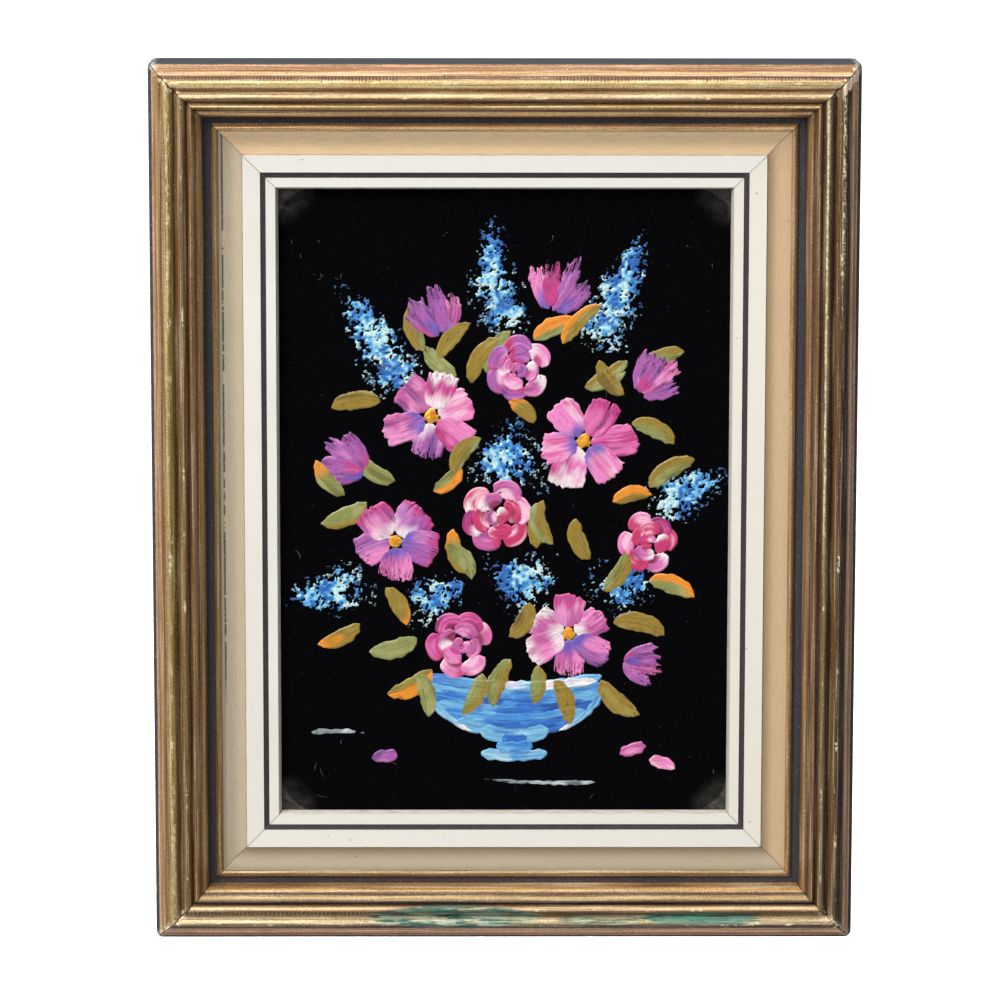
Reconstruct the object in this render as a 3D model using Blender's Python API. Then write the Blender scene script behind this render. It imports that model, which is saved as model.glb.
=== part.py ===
"""Small framed picture: a reeded gilt moulding, a painted liner and a velvet-covered board.

It hangs by a sawtooth plate.

The picture faces -Y. The origin is the middle of the hanger's wall face, so the wall is the plane y = 0.
A moulding's section is drawn as (inset, height): inset runs inward from the frame's outer edge, height runs
forward from the rails' back.
"""

import math

import bmesh
import bpy
from mathutils import Vector

# Clearances
GAP = 0.0003  # between two pieces that touch
MITRE_SHIFT = GAP / math.sqrt(2)  # moves each mitre back along its rail, so that the joint is GAP wide

# Panel
PANEL_WIDTH = 0.130
PANEL_HEIGHT = 0.180
PANEL_OVERLAP = 0.0031  # how far the liner covers the panel's edge
VELVET_THICKNESS = 0.0008
BOARD_THICKNESS = 0.0016

# Gilt moulding: bands from the outer edge inward
FRAME_DEPTH = 0.0192
SIDE_FLARE = 0.0003
EDGE_WIDTH = 0.0011
EDGE_DROP = 0.0060  # from the highest crest down to the start of the outer slope
EDGE_ROUNDING = 0.0012
OUTER_SLOPE_WIDTH = 0.0029
OUTER_SLOPE_DROP = 0.0014  # the outer slope's top edge below the highest crest
BEAD_COUNT = 3  # fine beads along the outer slope
BEAD_RISE = 0.00025
BROAD_REED_WIDTH = 0.0036
MIDDLE_REED_WIDTH = 0.0034
NARROW_REED_WIDTH = 0.0022
BROAD_REED_CREST = 0.36  # where a reed is highest, as a share of its width
MIDDLE_REED_CREST = 0.56
NARROW_REED_CREST = 0.40
REED_FALL = 0.0018  # a valley between reeds below the highest crest
NARROW_REED_DROP = 0.0007
INNER_SLOPE_WIDTH = 0.0019
INNER_SLOPE_DROP = 0.0034
GROOVE_WIDTH = 0.0021
GROOVE_DROP = 0.0089
FILLET_WIDTH = 0.0018
FILLET_RISE = 0.0012
FILLET_CREST = 0.6  # where the fillet is highest, as a share of its width
LIP_THICKNESS = 0.0016  # of wood left between the groove and the rabbet
RABBET_WIDTH = 0.0046
CORNER_RADIUS = 0.0020

# Liner moulding
LINER_FLANGE_THICKNESS = 0.0074
LINER_SHOULDER_RISE = 0.0022  # the cove's outer arris above the flange
COVE_WIDTH = 0.0064
COVE_DEPTH = 0.0011
COVE_SKEW = 1.3  # over 1 moves the cove's deepest line inward
IVORY_RISE = 0.0005  # the ivory band's outer arris above the cove's outer arris
IVORY_BAND_WIDTH = 0.0047
LINE_WIDTH = 0.0015
LINE_DEPTH = 0.0003
INNER_BAND_WIDTH = 0.0026
IVORY_FALL = 0.0016  # over both ivory bands
SIGHT_BEVEL_WIDTH = 0.0007
SIGHT_EDGE_THICKNESS = 0.0006
PANEL_RABBET_DEPTH = 0.0053

# Hardware
BRAD_RADIUS = 0.00055
BRAD_LENGTH = 0.012
BRAD_HOLD = 0.006  # length of a brad that is in the liner
BRAD_PLACES = {"left": (-0.25, 0.25), "right": (-0.25, 0.25), "top": (0,), "bottom": (0,)}  # shares of a side
HANGER_LENGTH = 0.044
HANGER_HEIGHT = 0.009
HANGER_THICKNESS = 0.0007
HANGER_CLEARANCE = 0.0012  # between the hanger's raised middle and the wood
HANGER_TAB = 0.0075
HANGER_RAMP = 0.0025
HANGER_INSET = 0.0068  # from the frame's top edge to the hanger's middle
TOOTH_PITCH = 0.0030
TOOTH_DEPTH = 0.0018
TOOTH_COUNT = 7
NAIL_SHANK_RADIUS = 0.0006
NAIL_HEAD_RADIUS = 0.0016
NAIL_HEAD_THICKNESS = 0.0005
NAIL_LENGTH = 0.0065

# Sizes that follow
GILT_WIDTH = (
    EDGE_WIDTH
    + OUTER_SLOPE_WIDTH
    + BROAD_REED_WIDTH
    + MIDDLE_REED_WIDTH
    + NARROW_REED_WIDTH
    + INNER_SLOPE_WIDTH
    + GROOVE_WIDTH
    + FILLET_WIDTH
)
LINER_FACE_WIDTH = COVE_WIDTH + IVORY_BAND_WIDTH + LINE_WIDTH + INNER_BAND_WIDTH + SIGHT_BEVEL_WIDTH
SIGHT_INSET = GILT_WIDTH + GAP + LINER_FACE_WIDTH
FRAME_WIDTH = PANEL_WIDTH + 2 * (SIGHT_INSET - PANEL_OVERLAP)
FRAME_HEIGHT = PANEL_HEIGHT + 2 * (SIGHT_INSET - PANEL_OVERLAP)
GROOVE_FLOOR = FRAME_DEPTH - GROOVE_DROP
RABBET_CEILING = GROOVE_FLOOR - LIP_THICKNESS
RABBET_INSET = GILT_WIDTH - RABBET_WIDTH
LINER_FLANGE_TOP = RABBET_CEILING - GAP
LINER_BACK = LINER_FLANGE_TOP - LINER_FLANGE_THICKNESS
PANEL_RABBET_CEILING = LINER_BACK + PANEL_RABBET_DEPTH
PANEL_RABBET_INSET = SIGHT_INSET - PANEL_OVERLAP - GAP
VELVET_FACE = PANEL_RABBET_CEILING - GAP
BOARD_FACE = VELVET_FACE - VELVET_THICKNESS - GAP
BOARD_BACK = BOARD_FACE - BOARD_THICKNESS
HANGER_STANDOFF = HANGER_CLEARANCE + HANGER_THICKNESS
FRAME_MIDDLE = Vector((0, -HANGER_STANDOFF, HANGER_INSET - FRAME_HEIGHT / 2))

ARC_STEPS = 8
BEAD_STEPS = 4
ROUND_SIDES = 12
SHARP_ANGLE = math.radians(30)

# Each side of the frame: how far its rail is turned about Y from the bottom rail
SIDES = {"bottom": 0.0, "left": math.pi / 2, "top": math.pi, "right": -math.pi / 2}


def clear_scene():
    for obj in list(bpy.data.objects):
        bpy.data.objects.remove(obj)


def collection(name, shown=True):
    made = bpy.data.collections.new(name)
    made.hide_render = not shown
    bpy.context.scene.collection.children.link(made)
    return made


def material(name, colour, roughness, metallic=0.0):
    made = bpy.data.materials.new(name)
    made.use_nodes = True
    made.diffuse_color = (*colour, 1)
    shader = made.node_tree.nodes["Principled BSDF"]
    shader.inputs["Base Color"].default_value = (*colour, 1)
    shader.inputs["Roughness"].default_value = roughness
    shader.inputs["Metallic"].default_value = metallic
    return made


def reed(start, end, crest_share, crest_height, steps=ARC_STEPS):
    """Points of a rounded reed from one valley to the next, without its last point."""
    (start_inset, start_height), (end_inset, end_height) = start, end
    width = end_inset - start_inset
    points = []
    for step in range(steps):
        share = step / steps
        if share < crest_share:
            turn = share / crest_share * math.pi / 2
            height = start_height + (crest_height - start_height) * math.sin(turn)
        else:
            turn = (share - crest_share) / (1 - crest_share) * math.pi / 2
            height = end_height + (crest_height - end_height) * math.cos(turn)
        points.append((start_inset + width * share, height))
    return points


def outer_slope(start, end):
    """The moulding's outer slope: fine beads that climb to the broad reed, without the last point."""
    run, climb = end[0] - start[0], end[1] - start[1]
    slope_length = math.hypot(run, climb)
    points = []
    for step in range(BEAD_COUNT * BEAD_STEPS):
        share = step / (BEAD_COUNT * BEAD_STEPS)
        swell = BEAD_RISE * abs(math.sin(share * BEAD_COUNT * math.pi))
        inset = start[0] + run * share - swell * climb / slope_length
        height = start[1] + climb * share + swell * run / slope_length
        points.append((inset, height))
    return points


def gilt_section():
    """The gilt moulding's outline, from its back outer corner round its face and back under the lip."""
    edge_top = FRAME_DEPTH - EDGE_DROP
    valley = FRAME_DEPTH - REED_FALL
    slope_start = (EDGE_WIDTH, edge_top)
    first_valley = (slope_start[0] + OUTER_SLOPE_WIDTH, FRAME_DEPTH - OUTER_SLOPE_DROP)
    second_valley = (first_valley[0] + BROAD_REED_WIDTH, valley)
    third_valley = (second_valley[0] + MIDDLE_REED_WIDTH, valley)
    fourth_valley = (third_valley[0] + NARROW_REED_WIDTH, FRAME_DEPTH - INNER_SLOPE_DROP)
    groove_start = (fourth_valley[0] + INNER_SLOPE_WIDTH, GROOVE_FLOOR)
    fillet_start = groove_start[0] + GROOVE_WIDTH
    points = [(0, 0), (SIDE_FLARE, edge_top - EDGE_ROUNDING)]
    for step in range(1, ARC_STEPS // 2):
        turn = step / (ARC_STEPS // 2) * math.pi / 2
        inset = SIDE_FLARE + (EDGE_WIDTH - SIDE_FLARE) * (1 - math.cos(turn))
        points.append((inset, edge_top - EDGE_ROUNDING * (1 - math.sin(turn))))
    points += outer_slope(slope_start, first_valley)
    points += reed(first_valley, second_valley, BROAD_REED_CREST, FRAME_DEPTH)
    points += reed(second_valley, third_valley, MIDDLE_REED_CREST, FRAME_DEPTH)
    points += reed(third_valley, fourth_valley, NARROW_REED_CREST, FRAME_DEPTH - NARROW_REED_DROP)
    foot = (groove_start[0], GROOVE_FLOOR + FILLET_RISE)
    for step in range(ARC_STEPS):
        turn = step / ARC_STEPS * math.pi / 2
        inset = fourth_valley[0] + INNER_SLOPE_WIDTH * math.sin(turn)
        points.append((inset, foot[1] + (fourth_valley[1] - foot[1]) * math.cos(turn)))
    points += [foot, groove_start, (fillet_start, GROOVE_FLOOR)]
    shoulder = GROOVE_FLOOR + FILLET_RISE / 2
    points += reed((fillet_start, shoulder), (GILT_WIDTH, shoulder), FILLET_CREST, GROOVE_FLOOR + FILLET_RISE)
    points += [
        (GILT_WIDTH, shoulder),
        (GILT_WIDTH, RABBET_CEILING),
        (RABBET_INSET, RABBET_CEILING),
        (RABBET_INSET, 0),
    ]
    return points


def liner_section():
    """The liner moulding's outline, from its back outer corner over its face to the panel's rabbet."""
    outer = RABBET_INSET + GAP
    shoulder = (GILT_WIDTH + GAP, LINER_FLANGE_TOP + LINER_SHOULDER_RISE)
    cove_end = shoulder[0] + COVE_WIDTH
    line_start = cove_end + IVORY_BAND_WIDTH
    line_end = line_start + LINE_WIDTH
    bevel_start = line_end + INNER_BAND_WIDTH
    ivory_edge = shoulder[1] + IVORY_RISE

    def ivory(inset):
        return ivory_edge - IVORY_FALL * (inset - cove_end) / (bevel_start - cove_end)

    points = [(outer, LINER_BACK), (outer, LINER_FLANGE_TOP), (shoulder[0], LINER_FLANGE_TOP)]
    for step in range(ARC_STEPS + 1):
        share = step / ARC_STEPS
        dip = COVE_DEPTH * math.sin(share**COVE_SKEW * math.pi)
        points.append((shoulder[0] + COVE_WIDTH * share, shoulder[1] - dip))
    points += [
        (cove_end, ivory(cove_end)),
        (line_start, ivory(line_start)),
        (line_start, ivory(line_start) - LINE_DEPTH),
        (line_end, ivory(line_end) - LINE_DEPTH),
        (line_end, ivory(line_end)),
        (bevel_start, ivory(bevel_start)),
        (SIGHT_INSET, PANEL_RABBET_CEILING + SIGHT_EDGE_THICKNESS),
        (SIGHT_INSET, PANEL_RABBET_CEILING),
        (PANEL_RABBET_INSET, PANEL_RABBET_CEILING),
        (PANEL_RABBET_INSET, LINER_BACK),
    ]
    return points


def outer_length(side):
    return FRAME_WIDTH if side in ("top", "bottom") else FRAME_HEIGHT


def to_side(side, along, inset, height):
    """World place of a point, from its places along a side, inward and forward from the rails' back."""
    turn = SIDES[side]
    reach = (FRAME_HEIGHT if side in ("top", "bottom") else FRAME_WIDTH) / 2 - inset
    sideways = Vector((math.cos(turn), 0, -math.sin(turn)))
    outward = Vector((-math.sin(turn), 0, -math.cos(turn)))
    return FRAME_MIDDLE + along * sideways + reach * outward + Vector((0, -height, 0))


def add_mesh(bm, name, group, finish=None):
    bmesh.ops.recalc_face_normals(bm, faces=bm.faces)
    mesh = bpy.data.meshes.new(name)
    bm.to_mesh(mesh)
    bm.free()
    obj = bpy.data.objects.new(name, mesh)
    group.objects.link(obj)
    if finish:
        mesh.materials.append(finish)
    return obj


def rail(name, side, section, group, finish):
    """A straight moulding with a mitre at each end: its section swept along one side of the frame."""
    half = outer_length(side) / 2
    bm = bmesh.new()
    ends = []
    for sign in (-1, 1):
        outline = [(sign * (half - inset - MITRE_SHIFT), inset, height) for inset, height in section]
        ends.append([bm.verts.new(point) for point in outline])
    bm.faces.new(ends[0])
    bm.faces.new(reversed(ends[1]))
    for index in range(len(section)):
        following = (index + 1) % len(section)
        bm.faces.new((ends[0][index], ends[1][index], ends[1][following], ends[0][following]))
    made = add_mesh(bm, name, group, finish)
    made.rotation_euler = (math.pi / 2, SIDES[side], 0)
    made.location = to_side(side, 0, 0, 0)
    made.data.shade_smooth()
    made.data.set_sharp_from_angle(angle=SHARP_ANGLE)
    return made


def box(name, size, centre, group, finish):
    bm = bmesh.new()
    bmesh.ops.create_cube(bm, size=1)
    bmesh.ops.scale(bm, verts=bm.verts, vec=size)
    made = add_mesh(bm, name, group, finish)
    made.location = centre
    return made


def rod(bm, radius, length, tail):
    """A cylinder along +Z in bm, starting at height tail."""
    round_ends = {"radius1": radius, "radius2": radius}
    made = bmesh.ops.create_cone(bm, cap_ends=True, segments=ROUND_SIDES, depth=length, **round_ends)
    bmesh.ops.translate(bm, verts=made["verts"], vec=(0, 0, tail + length / 2))


def cutter(bm, name, group):
    made = add_mesh(bm, name, group)
    made.hide_render = True
    made.display_type = "WIRE"
    return made


def cut(target, tool, operation):
    modifier = target.modifiers.new(tool.name, "BOOLEAN")
    modifier.operation = operation
    modifier.object = tool


def corner_cutter(group):
    """A block as large as the frame with rounded corners, which the gilt rails are kept inside."""
    bm = bmesh.new()
    bmesh.ops.create_cube(bm, size=1)
    size = (FRAME_WIDTH + GAP, 4 * FRAME_DEPTH, FRAME_HEIGHT + GAP)
    bmesh.ops.scale(bm, verts=bm.verts, vec=size)
    deep = [edge for edge in bm.edges if abs(edge.verts[0].co.y - edge.verts[1].co.y) > FRAME_DEPTH]
    radius = CORNER_RADIUS + GAP / 2
    bmesh.ops.bevel(bm, geom=deep, offset=radius, segments=ARC_STEPS // 2, profile=0.5, affect="EDGES")
    made = cutter(bm, "corner_cutter", group)
    made.location = FRAME_MIDDLE
    return made


def aim(obj, place, direction):
    obj.rotation_mode = "QUATERNION"
    obj.rotation_quaternion = Vector(direction).to_track_quat("Z", "Y")
    obj.location = place


def brads(liner_rails, parts, cutters, finish):
    """Headless brads that lie over the board's back, each half its length in the liner."""
    height = BOARD_BACK - GAP - BRAD_RADIUS
    for side, shares in BRAD_PLACES.items():
        inward = to_side(side, 0, 1, 0) - to_side(side, 0, 0, 0)
        for number, share in enumerate(shares, 1):
            along = share * outer_length(side)
            start = to_side(side, along, PANEL_RABBET_INSET - BRAD_HOLD, height)
            bm = bmesh.new()
            rod(bm, BRAD_RADIUS, BRAD_LENGTH, 0)
            aim(add_mesh(bm, f"brad_{side}_{number}", parts, finish), start, inward)
            bm = bmesh.new()
            rod(bm, BRAD_RADIUS + GAP, BRAD_LENGTH + GAP, -GAP)
            hole = cutter(bm, f"brad_hole_{side}_{number}", cutters)
            aim(hole, start, inward)
            cut(liner_rails[side], hole, "DIFFERENCE")


def hanger(parts, cutters, finish):
    """The sawtooth plate: a strip with flat tabs, a raised middle and teeth along the middle's lower edge."""
    half = HANGER_LENGTH / 2
    middle = half - HANGER_TAB - HANGER_RAMP
    low = GAP + HANGER_THICKNESS - HANGER_STANDOFF
    right = [(middle, 0), (middle + HANGER_RAMP, low), (half, low)]
    outer = [(-x, y) for x, y in reversed(right)] + right
    outline = outer + [(x, y - HANGER_THICKNESS) for x, y in reversed(outer)]
    bm = bmesh.new()
    face = bm.faces.new([bm.verts.new((x, y, -HANGER_HEIGHT / 2)) for x, y in outline])
    swept = bmesh.ops.extrude_face_region(bm, geom=[face])
    lifted = [item for item in swept["geom"] if isinstance(item, bmesh.types.BMVert)]
    bmesh.ops.translate(bm, verts=lifted, vec=(0, 0, HANGER_HEIGHT))
    plate = add_mesh(bm, "sawtooth_hanger", parts, finish)
    for number in range(TOOTH_COUNT):
        across = (number - (TOOTH_COUNT - 1) / 2) * TOOTH_PITCH
        bm = bmesh.new()
        square = {"segments": 4, "radius1": TOOTH_DEPTH, "radius2": TOOTH_DEPTH}
        bmesh.ops.create_cone(bm, cap_ends=True, depth=4 * HANGER_STANDOFF, **square)
        notch = cutter(bm, f"tooth_notch_{number + 1}", cutters)
        notch.rotation_euler = (math.pi / 2, 0, 0)
        notch.location = (across, 0, -HANGER_HEIGHT / 2)
        cut(plate, notch, "DIFFERENCE")
    return plate


def hanger_nails(plate, top_rail, parts, cutters, finish):
    """Two nails through the plate's tabs into the top rail."""
    tab_face = GAP + HANGER_THICKNESS - HANGER_STANDOFF
    for side, sign in (("left", -1), ("right", 1)):
        place = (sign * (HANGER_LENGTH - HANGER_TAB) / 2, tab_face + GAP, 0)
        bm = bmesh.new()
        rod(bm, NAIL_SHANK_RADIUS, NAIL_LENGTH, 0)
        nail = add_mesh(bm, f"hanger_nail_{side}", parts, finish)
        aim(nail, place, (0, -1, 0))
        bm = bmesh.new()
        rod(bm, NAIL_HEAD_RADIUS, NAIL_HEAD_THICKNESS, -NAIL_HEAD_THICKNESS)
        head = cutter(bm, f"nail_head_{side}", cutters)
        aim(head, place, (0, -1, 0))
        cut(nail, head, "UNION")
        bm = bmesh.new()
        rod(bm, NAIL_SHANK_RADIUS + GAP, NAIL_LENGTH + 2 * GAP, -GAP)
        hole = cutter(bm, f"nail_hole_{side}", cutters)
        aim(hole, place, (0, -1, 0))
        cut(plate, hole, "DIFFERENCE")
        cut(top_rail, hole, "DIFFERENCE")


def build():
    clear_scene()
    parts = collection("framed_painting")
    cutters = collection("cutters", shown=False)
    gilt = material("gilt_wood", (0.42, 0.26, 0.11), 0.42, 0.55)
    painted = material("painted_liner", (0.72, 0.66, 0.55), 0.5)
    velvet = material("velvet", (0.006, 0.006, 0.008), 0.95)
    board = material("board", (0.36, 0.27, 0.17), 0.85)
    steel = material("steel", (0.45, 0.44, 0.42), 0.4, 1.0)
    brass = material("brassed_steel", (0.62, 0.48, 0.24), 0.35, 1.0)

    corners = corner_cutter(cutters)
    gilt_rails, liner_rails = {}, {}
    for side in SIDES:
        gilt_rails[side] = rail(f"gilt_rail_{side}", side, gilt_section(), parts, gilt)
        cut(gilt_rails[side], corners, "INTERSECT")
        liner_rails[side] = rail(f"liner_rail_{side}", side, liner_section(), parts, painted)

    size = (PANEL_WIDTH, VELVET_THICKNESS, PANEL_HEIGHT)
    centre = FRAME_MIDDLE + Vector((0, VELVET_THICKNESS / 2 - VELVET_FACE, 0))
    box("velvet", size, centre, parts, velvet)
    size = (PANEL_WIDTH, BOARD_THICKNESS, PANEL_HEIGHT)
    centre = FRAME_MIDDLE + Vector((0, BOARD_THICKNESS / 2 - BOARD_FACE, 0))
    box("backing_board", size, centre, parts, board)

    brads(liner_rails, parts, cutters, steel)
    plate = hanger(parts, cutters, brass)
    hanger_nails(plate, gilt_rails["top"], parts, cutters, steel)


build()
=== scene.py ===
"""Looks of a small picture on black velvet in a reeded gilt frame with a painted liner."""

import math
from functools import partial
from random import Random

import bmesh
import bpy
import numpy as np
from mathutils import Matrix, Vector


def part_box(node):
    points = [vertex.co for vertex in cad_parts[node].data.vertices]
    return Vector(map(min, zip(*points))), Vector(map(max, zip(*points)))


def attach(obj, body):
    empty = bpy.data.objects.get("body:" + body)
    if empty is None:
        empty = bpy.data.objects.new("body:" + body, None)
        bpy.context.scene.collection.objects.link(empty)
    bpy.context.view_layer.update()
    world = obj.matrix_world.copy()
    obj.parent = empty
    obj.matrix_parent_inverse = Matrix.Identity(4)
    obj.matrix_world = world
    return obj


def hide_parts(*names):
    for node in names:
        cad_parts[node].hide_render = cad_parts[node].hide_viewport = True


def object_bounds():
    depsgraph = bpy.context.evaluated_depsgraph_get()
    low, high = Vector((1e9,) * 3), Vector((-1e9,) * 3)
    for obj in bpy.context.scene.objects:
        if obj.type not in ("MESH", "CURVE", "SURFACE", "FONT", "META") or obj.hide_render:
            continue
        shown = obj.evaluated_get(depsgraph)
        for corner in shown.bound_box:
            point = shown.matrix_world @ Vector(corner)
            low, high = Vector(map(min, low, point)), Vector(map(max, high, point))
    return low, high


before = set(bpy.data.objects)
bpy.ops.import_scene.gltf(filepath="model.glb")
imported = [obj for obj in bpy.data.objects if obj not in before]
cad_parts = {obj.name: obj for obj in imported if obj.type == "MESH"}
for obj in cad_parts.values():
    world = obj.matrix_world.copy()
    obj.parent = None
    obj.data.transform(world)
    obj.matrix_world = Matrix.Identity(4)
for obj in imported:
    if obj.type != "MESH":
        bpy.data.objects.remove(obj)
CAD_LOW, CAD_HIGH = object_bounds()
MM = 0.001

# Places taken from the frame, in metres
VELVET_LOW, VELVET_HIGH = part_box("velvet")
CENTRE_X = (VELVET_LOW.x + VELVET_HIGH.x) / 2
CENTRE_Z = (VELVET_LOW.z + VELVET_HIGH.z) / 2
BACK_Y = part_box("gilt_rail_left")[1].y
HALF_WIDTH = (CAD_HIGH.x - CAD_LOW.x) / 2
HALF_HEIGHT = (CAD_HIGH.z - CAD_LOW.z) / 2
SIGHT_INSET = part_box("liner_rail_left")[1].x - CAD_LOW.x
SIGHT_HALF = (HALF_WIDTH - SIGHT_INSET, HALF_HEIGHT - SIGHT_INSET)
VELVET_FACE_Y = VELVET_LOW.y

# Bands of the mouldings, as insets from the frame's outer edge in mm
EDGE_END = 1.1
SLOPE_END = 4.0
BROAD_END = 7.6
MIDDLE_END = 11.0
INNER_SLOPE_END = 15.1
GROOVE_END = 17.2
FILLET_END = 19.15
LINER_START = 19.3
CLOSED_JOINT = 0.27  # how far the liner is drawn out to the fillet, because the real joint is tight
COVE_END = 25.7
IVORY_END = 30.4
LINE_END = 31.9
SIGHT_EDGE = 34.3
# Places where bare wood starts, as insets and heights above the back in mm
LIP_INSET, LIP_HEIGHT = 14.2, 9.6
LINER_WOOD_HEIGHT = 5.9


def linear(*colour):
    """Linear colour of an 8-bit display colour."""
    shares = [channel / 255 for channel in colour]
    return tuple(((c + 0.055) / 1.055) ** 2.4 if c > 0.0404 else c / 12.92 for c in shares)


def sign(operation, swapped=False):
    """A method that adds a Math node for a sign between values."""

    def method(value, other=0.0):
        first, second = (other, value) if swapped else (value, other)
        return value.nodes.math(operation, first, second)

    return method


class Value:
    """An output of a node. Sums and comparisons with it add Math nodes."""

    def __init__(self, nodes, socket):
        self.nodes, self.socket = nodes, socket

    __add__, __radd__ = sign("ADD"), sign("ADD", True)
    __sub__, __rsub__ = sign("SUBTRACT"), sign("SUBTRACT", True)
    __mul__, __rmul__ = sign("MULTIPLY"), sign("MULTIPLY", True)
    __truediv__, __abs__ = sign("DIVIDE"), sign("ABSOLUTE")
    __lt__, __gt__ = sign("LESS_THAN"), sign("GREATER_THAN")


def most(first, *others):
    """The largest of some values."""
    for other in others:
        first = first.nodes.math("MAXIMUM", first, other)
    return first


def least(first, second):
    return first.nodes.math("MINIMUM", first, second)


class Nodes:
    """Short calls that add nodes to a tree. Lengths are in mm, and colours are 8-bit display values."""

    def __init__(self, tree):
        self.tree = tree

    def connect(self, value, target):
        if isinstance(value, Value):
            self.tree.links.new(value.socket, target)
        elif isinstance(value, tuple):
            target.default_value = (*linear(*value), 1)
        else:
            target.default_value = value

    def node(self, kind, inputs=None, **settings):
        made = self.tree.nodes.new(kind)
        for key, value in settings.items():
            setattr(made, key, value)
        for key, value in (inputs or {}).items():
            self.connect(value, made.inputs[key])
        return made

    def value(self, kind, inputs=None, output=0, **settings):
        return Value(self, self.node(kind, inputs, **settings).outputs[output])

    def math(self, operation, first, second=0.0):
        return self.value("ShaderNodeMath", {0: first, 1: second}, operation=operation)

    def vector(self, x, y, z):
        return self.value("ShaderNodeCombineXYZ", {0: x, 1: y, 2: z})

    def axes(self, vector):
        return [Value(self, socket) for socket in self.node("ShaderNodeSeparateXYZ", {0: vector}).outputs]

    def place(self):
        """Position in mm, as a vector and as its x, y and z."""
        position = self.value("ShaderNodeTexCoord", output="Object")
        scaled = self.value("ShaderNodeVectorMath", {0: position, "Scale": 1 / MM}, operation="SCALE")
        return scaled, self.axes(scaled)

    def noise(self, at, scale, detail=2.0, roughness=0.5, distortion=0.0):
        at = self.vector(*at) if isinstance(at, tuple) else at
        inputs = {"Vector": at, "Scale": scale, "Detail": detail, "Roughness": roughness}
        return self.value("ShaderNodeTexNoise", inputs | {"Distortion": distortion})

    def spots(self, at, scale):
        """Distance to the nearest of scattered points, in cells."""
        return self.value("ShaderNodeTexVoronoi", {"Vector": at, "Scale": scale}, output="Distance")

    def ramp(self, factor, stops):
        """Colours between stops, each a place from 0 to 1 and a colour."""
        made = self.node("ShaderNodeValToRGB", {0: factor})
        elements = made.color_ramp.elements
        while len(elements) < len(stops):
            elements.new(1.0)
        for element, (place, _) in zip(elements, stops):
            element.position = place
        for element, (_, colour) in zip(elements, stops):
            element.color = (*linear(*colour), 1)
        return Value(self, made.outputs[0])

    def rise(self, value, low, high, to_low=0.0, to_high=1.0, kind="SMOOTHSTEP"):
        """From one number to another while value goes from low to high."""
        inputs = {0: value, 1: low, 2: high, 3: to_low, 4: to_high}
        return self.value("ShaderNodeMapRange", inputs, interpolation_type=kind, clamp=True)

    def fall(self, value, low, high):
        return self.rise(value, low, high, 1.0, 0.0)

    def mix(self, factor, first, second, blend="MIX"):
        inputs = {0: factor, 6: first, 7: second}
        return self.value("ShaderNodeMix", inputs, 2, data_type="RGBA", blend_type=blend)

    def shade(self, tone, amount):
        """The tone times a grey amount, which may be over 1."""
        return self.mix(1.0, tone, self.vector(amount, amount, amount), "MULTIPLY")

    def coats(self, tone, *coats):
        """The tone under coats, each an amount from 0 to 1 and a tone."""
        for amount, coat in coats:
            tone = self.mix(amount, tone, coat)
        return tone


class Shader(Nodes):
    """A Principled material."""

    def __init__(self, name, **values):
        self.material = bpy.data.materials.new(name)
        self.material.use_nodes = True
        super().__init__(self.material.node_tree)
        self.inputs = self.tree.nodes["Principled BSDF"].inputs
        for key, value in values.items():
            self.set(key.replace("_", " "), value)

    def set(self, socket, value):
        self.connect(value, self.inputs[socket])

    def bump(self, height, distance_mm, strength=1.0):
        inputs = {"Height": height, "Distance": distance_mm * MM, "Strength": strength}
        self.set("Normal", self.value("ShaderNodeBump", inputs))


class FrameShader(Shader):
    """A shader that knows where on the frame a point is."""

    def __init__(self, name, **values):
        super().__init__(name, **values)
        self.position, (x, y, z) = self.place()
        self.x = x - CENTRE_X / MM
        self.z = z - CENTRE_Z / MM
        self.height = BACK_Y / MM - y
        from_side = HALF_WIDTH / MM - abs(self.x)
        from_end = HALF_HEIGHT / MM - abs(self.z)
        self.inset = least(from_side, from_end)
        self.mitre = abs(from_side - from_end)
        upright = from_side < from_end
        level = 1.0 - upright
        self.right = upright * (self.x > 0.0)
        self.left = upright - self.right
        self.top = level * (self.z > 0.0)
        self.bottom = level - self.top
        ends = {0: upright, 2: self.x, 3: self.z}
        self.along = self.value("ShaderNodeMix", ends, data_type="FLOAT")
        # Stretched along the rail, for brushed streaks
        self.grain = self.vector(self.along * 0.12, self.inset, self.height)

    def band(self, start, end, soft=0.15):
        """1 between two insets, with soft edges."""
        rising = self.rise(self.inset, start - soft, start + soft)
        return rising * self.fall(self.inset, end - soft, end + soft)

    def patch(self, along, inset, half_length, half_width, edge_noise, roughness=0.6):
        """A ragged patch on every rail, at a place along it and an inset."""
        across = (self.along - along) / half_length
        inward = (self.inset - inset) / half_width
        ragged = edge_noise * (roughness * 2) - roughness
        return self.fall(across * across + inward * inward + ragged, 0.75, 1.05)

    def by_side(self, top, left, right, bottom):
        """The value of the side that a point lies on."""
        return self.top * top + self.left * left + self.right * right + self.bottom * bottom


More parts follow.
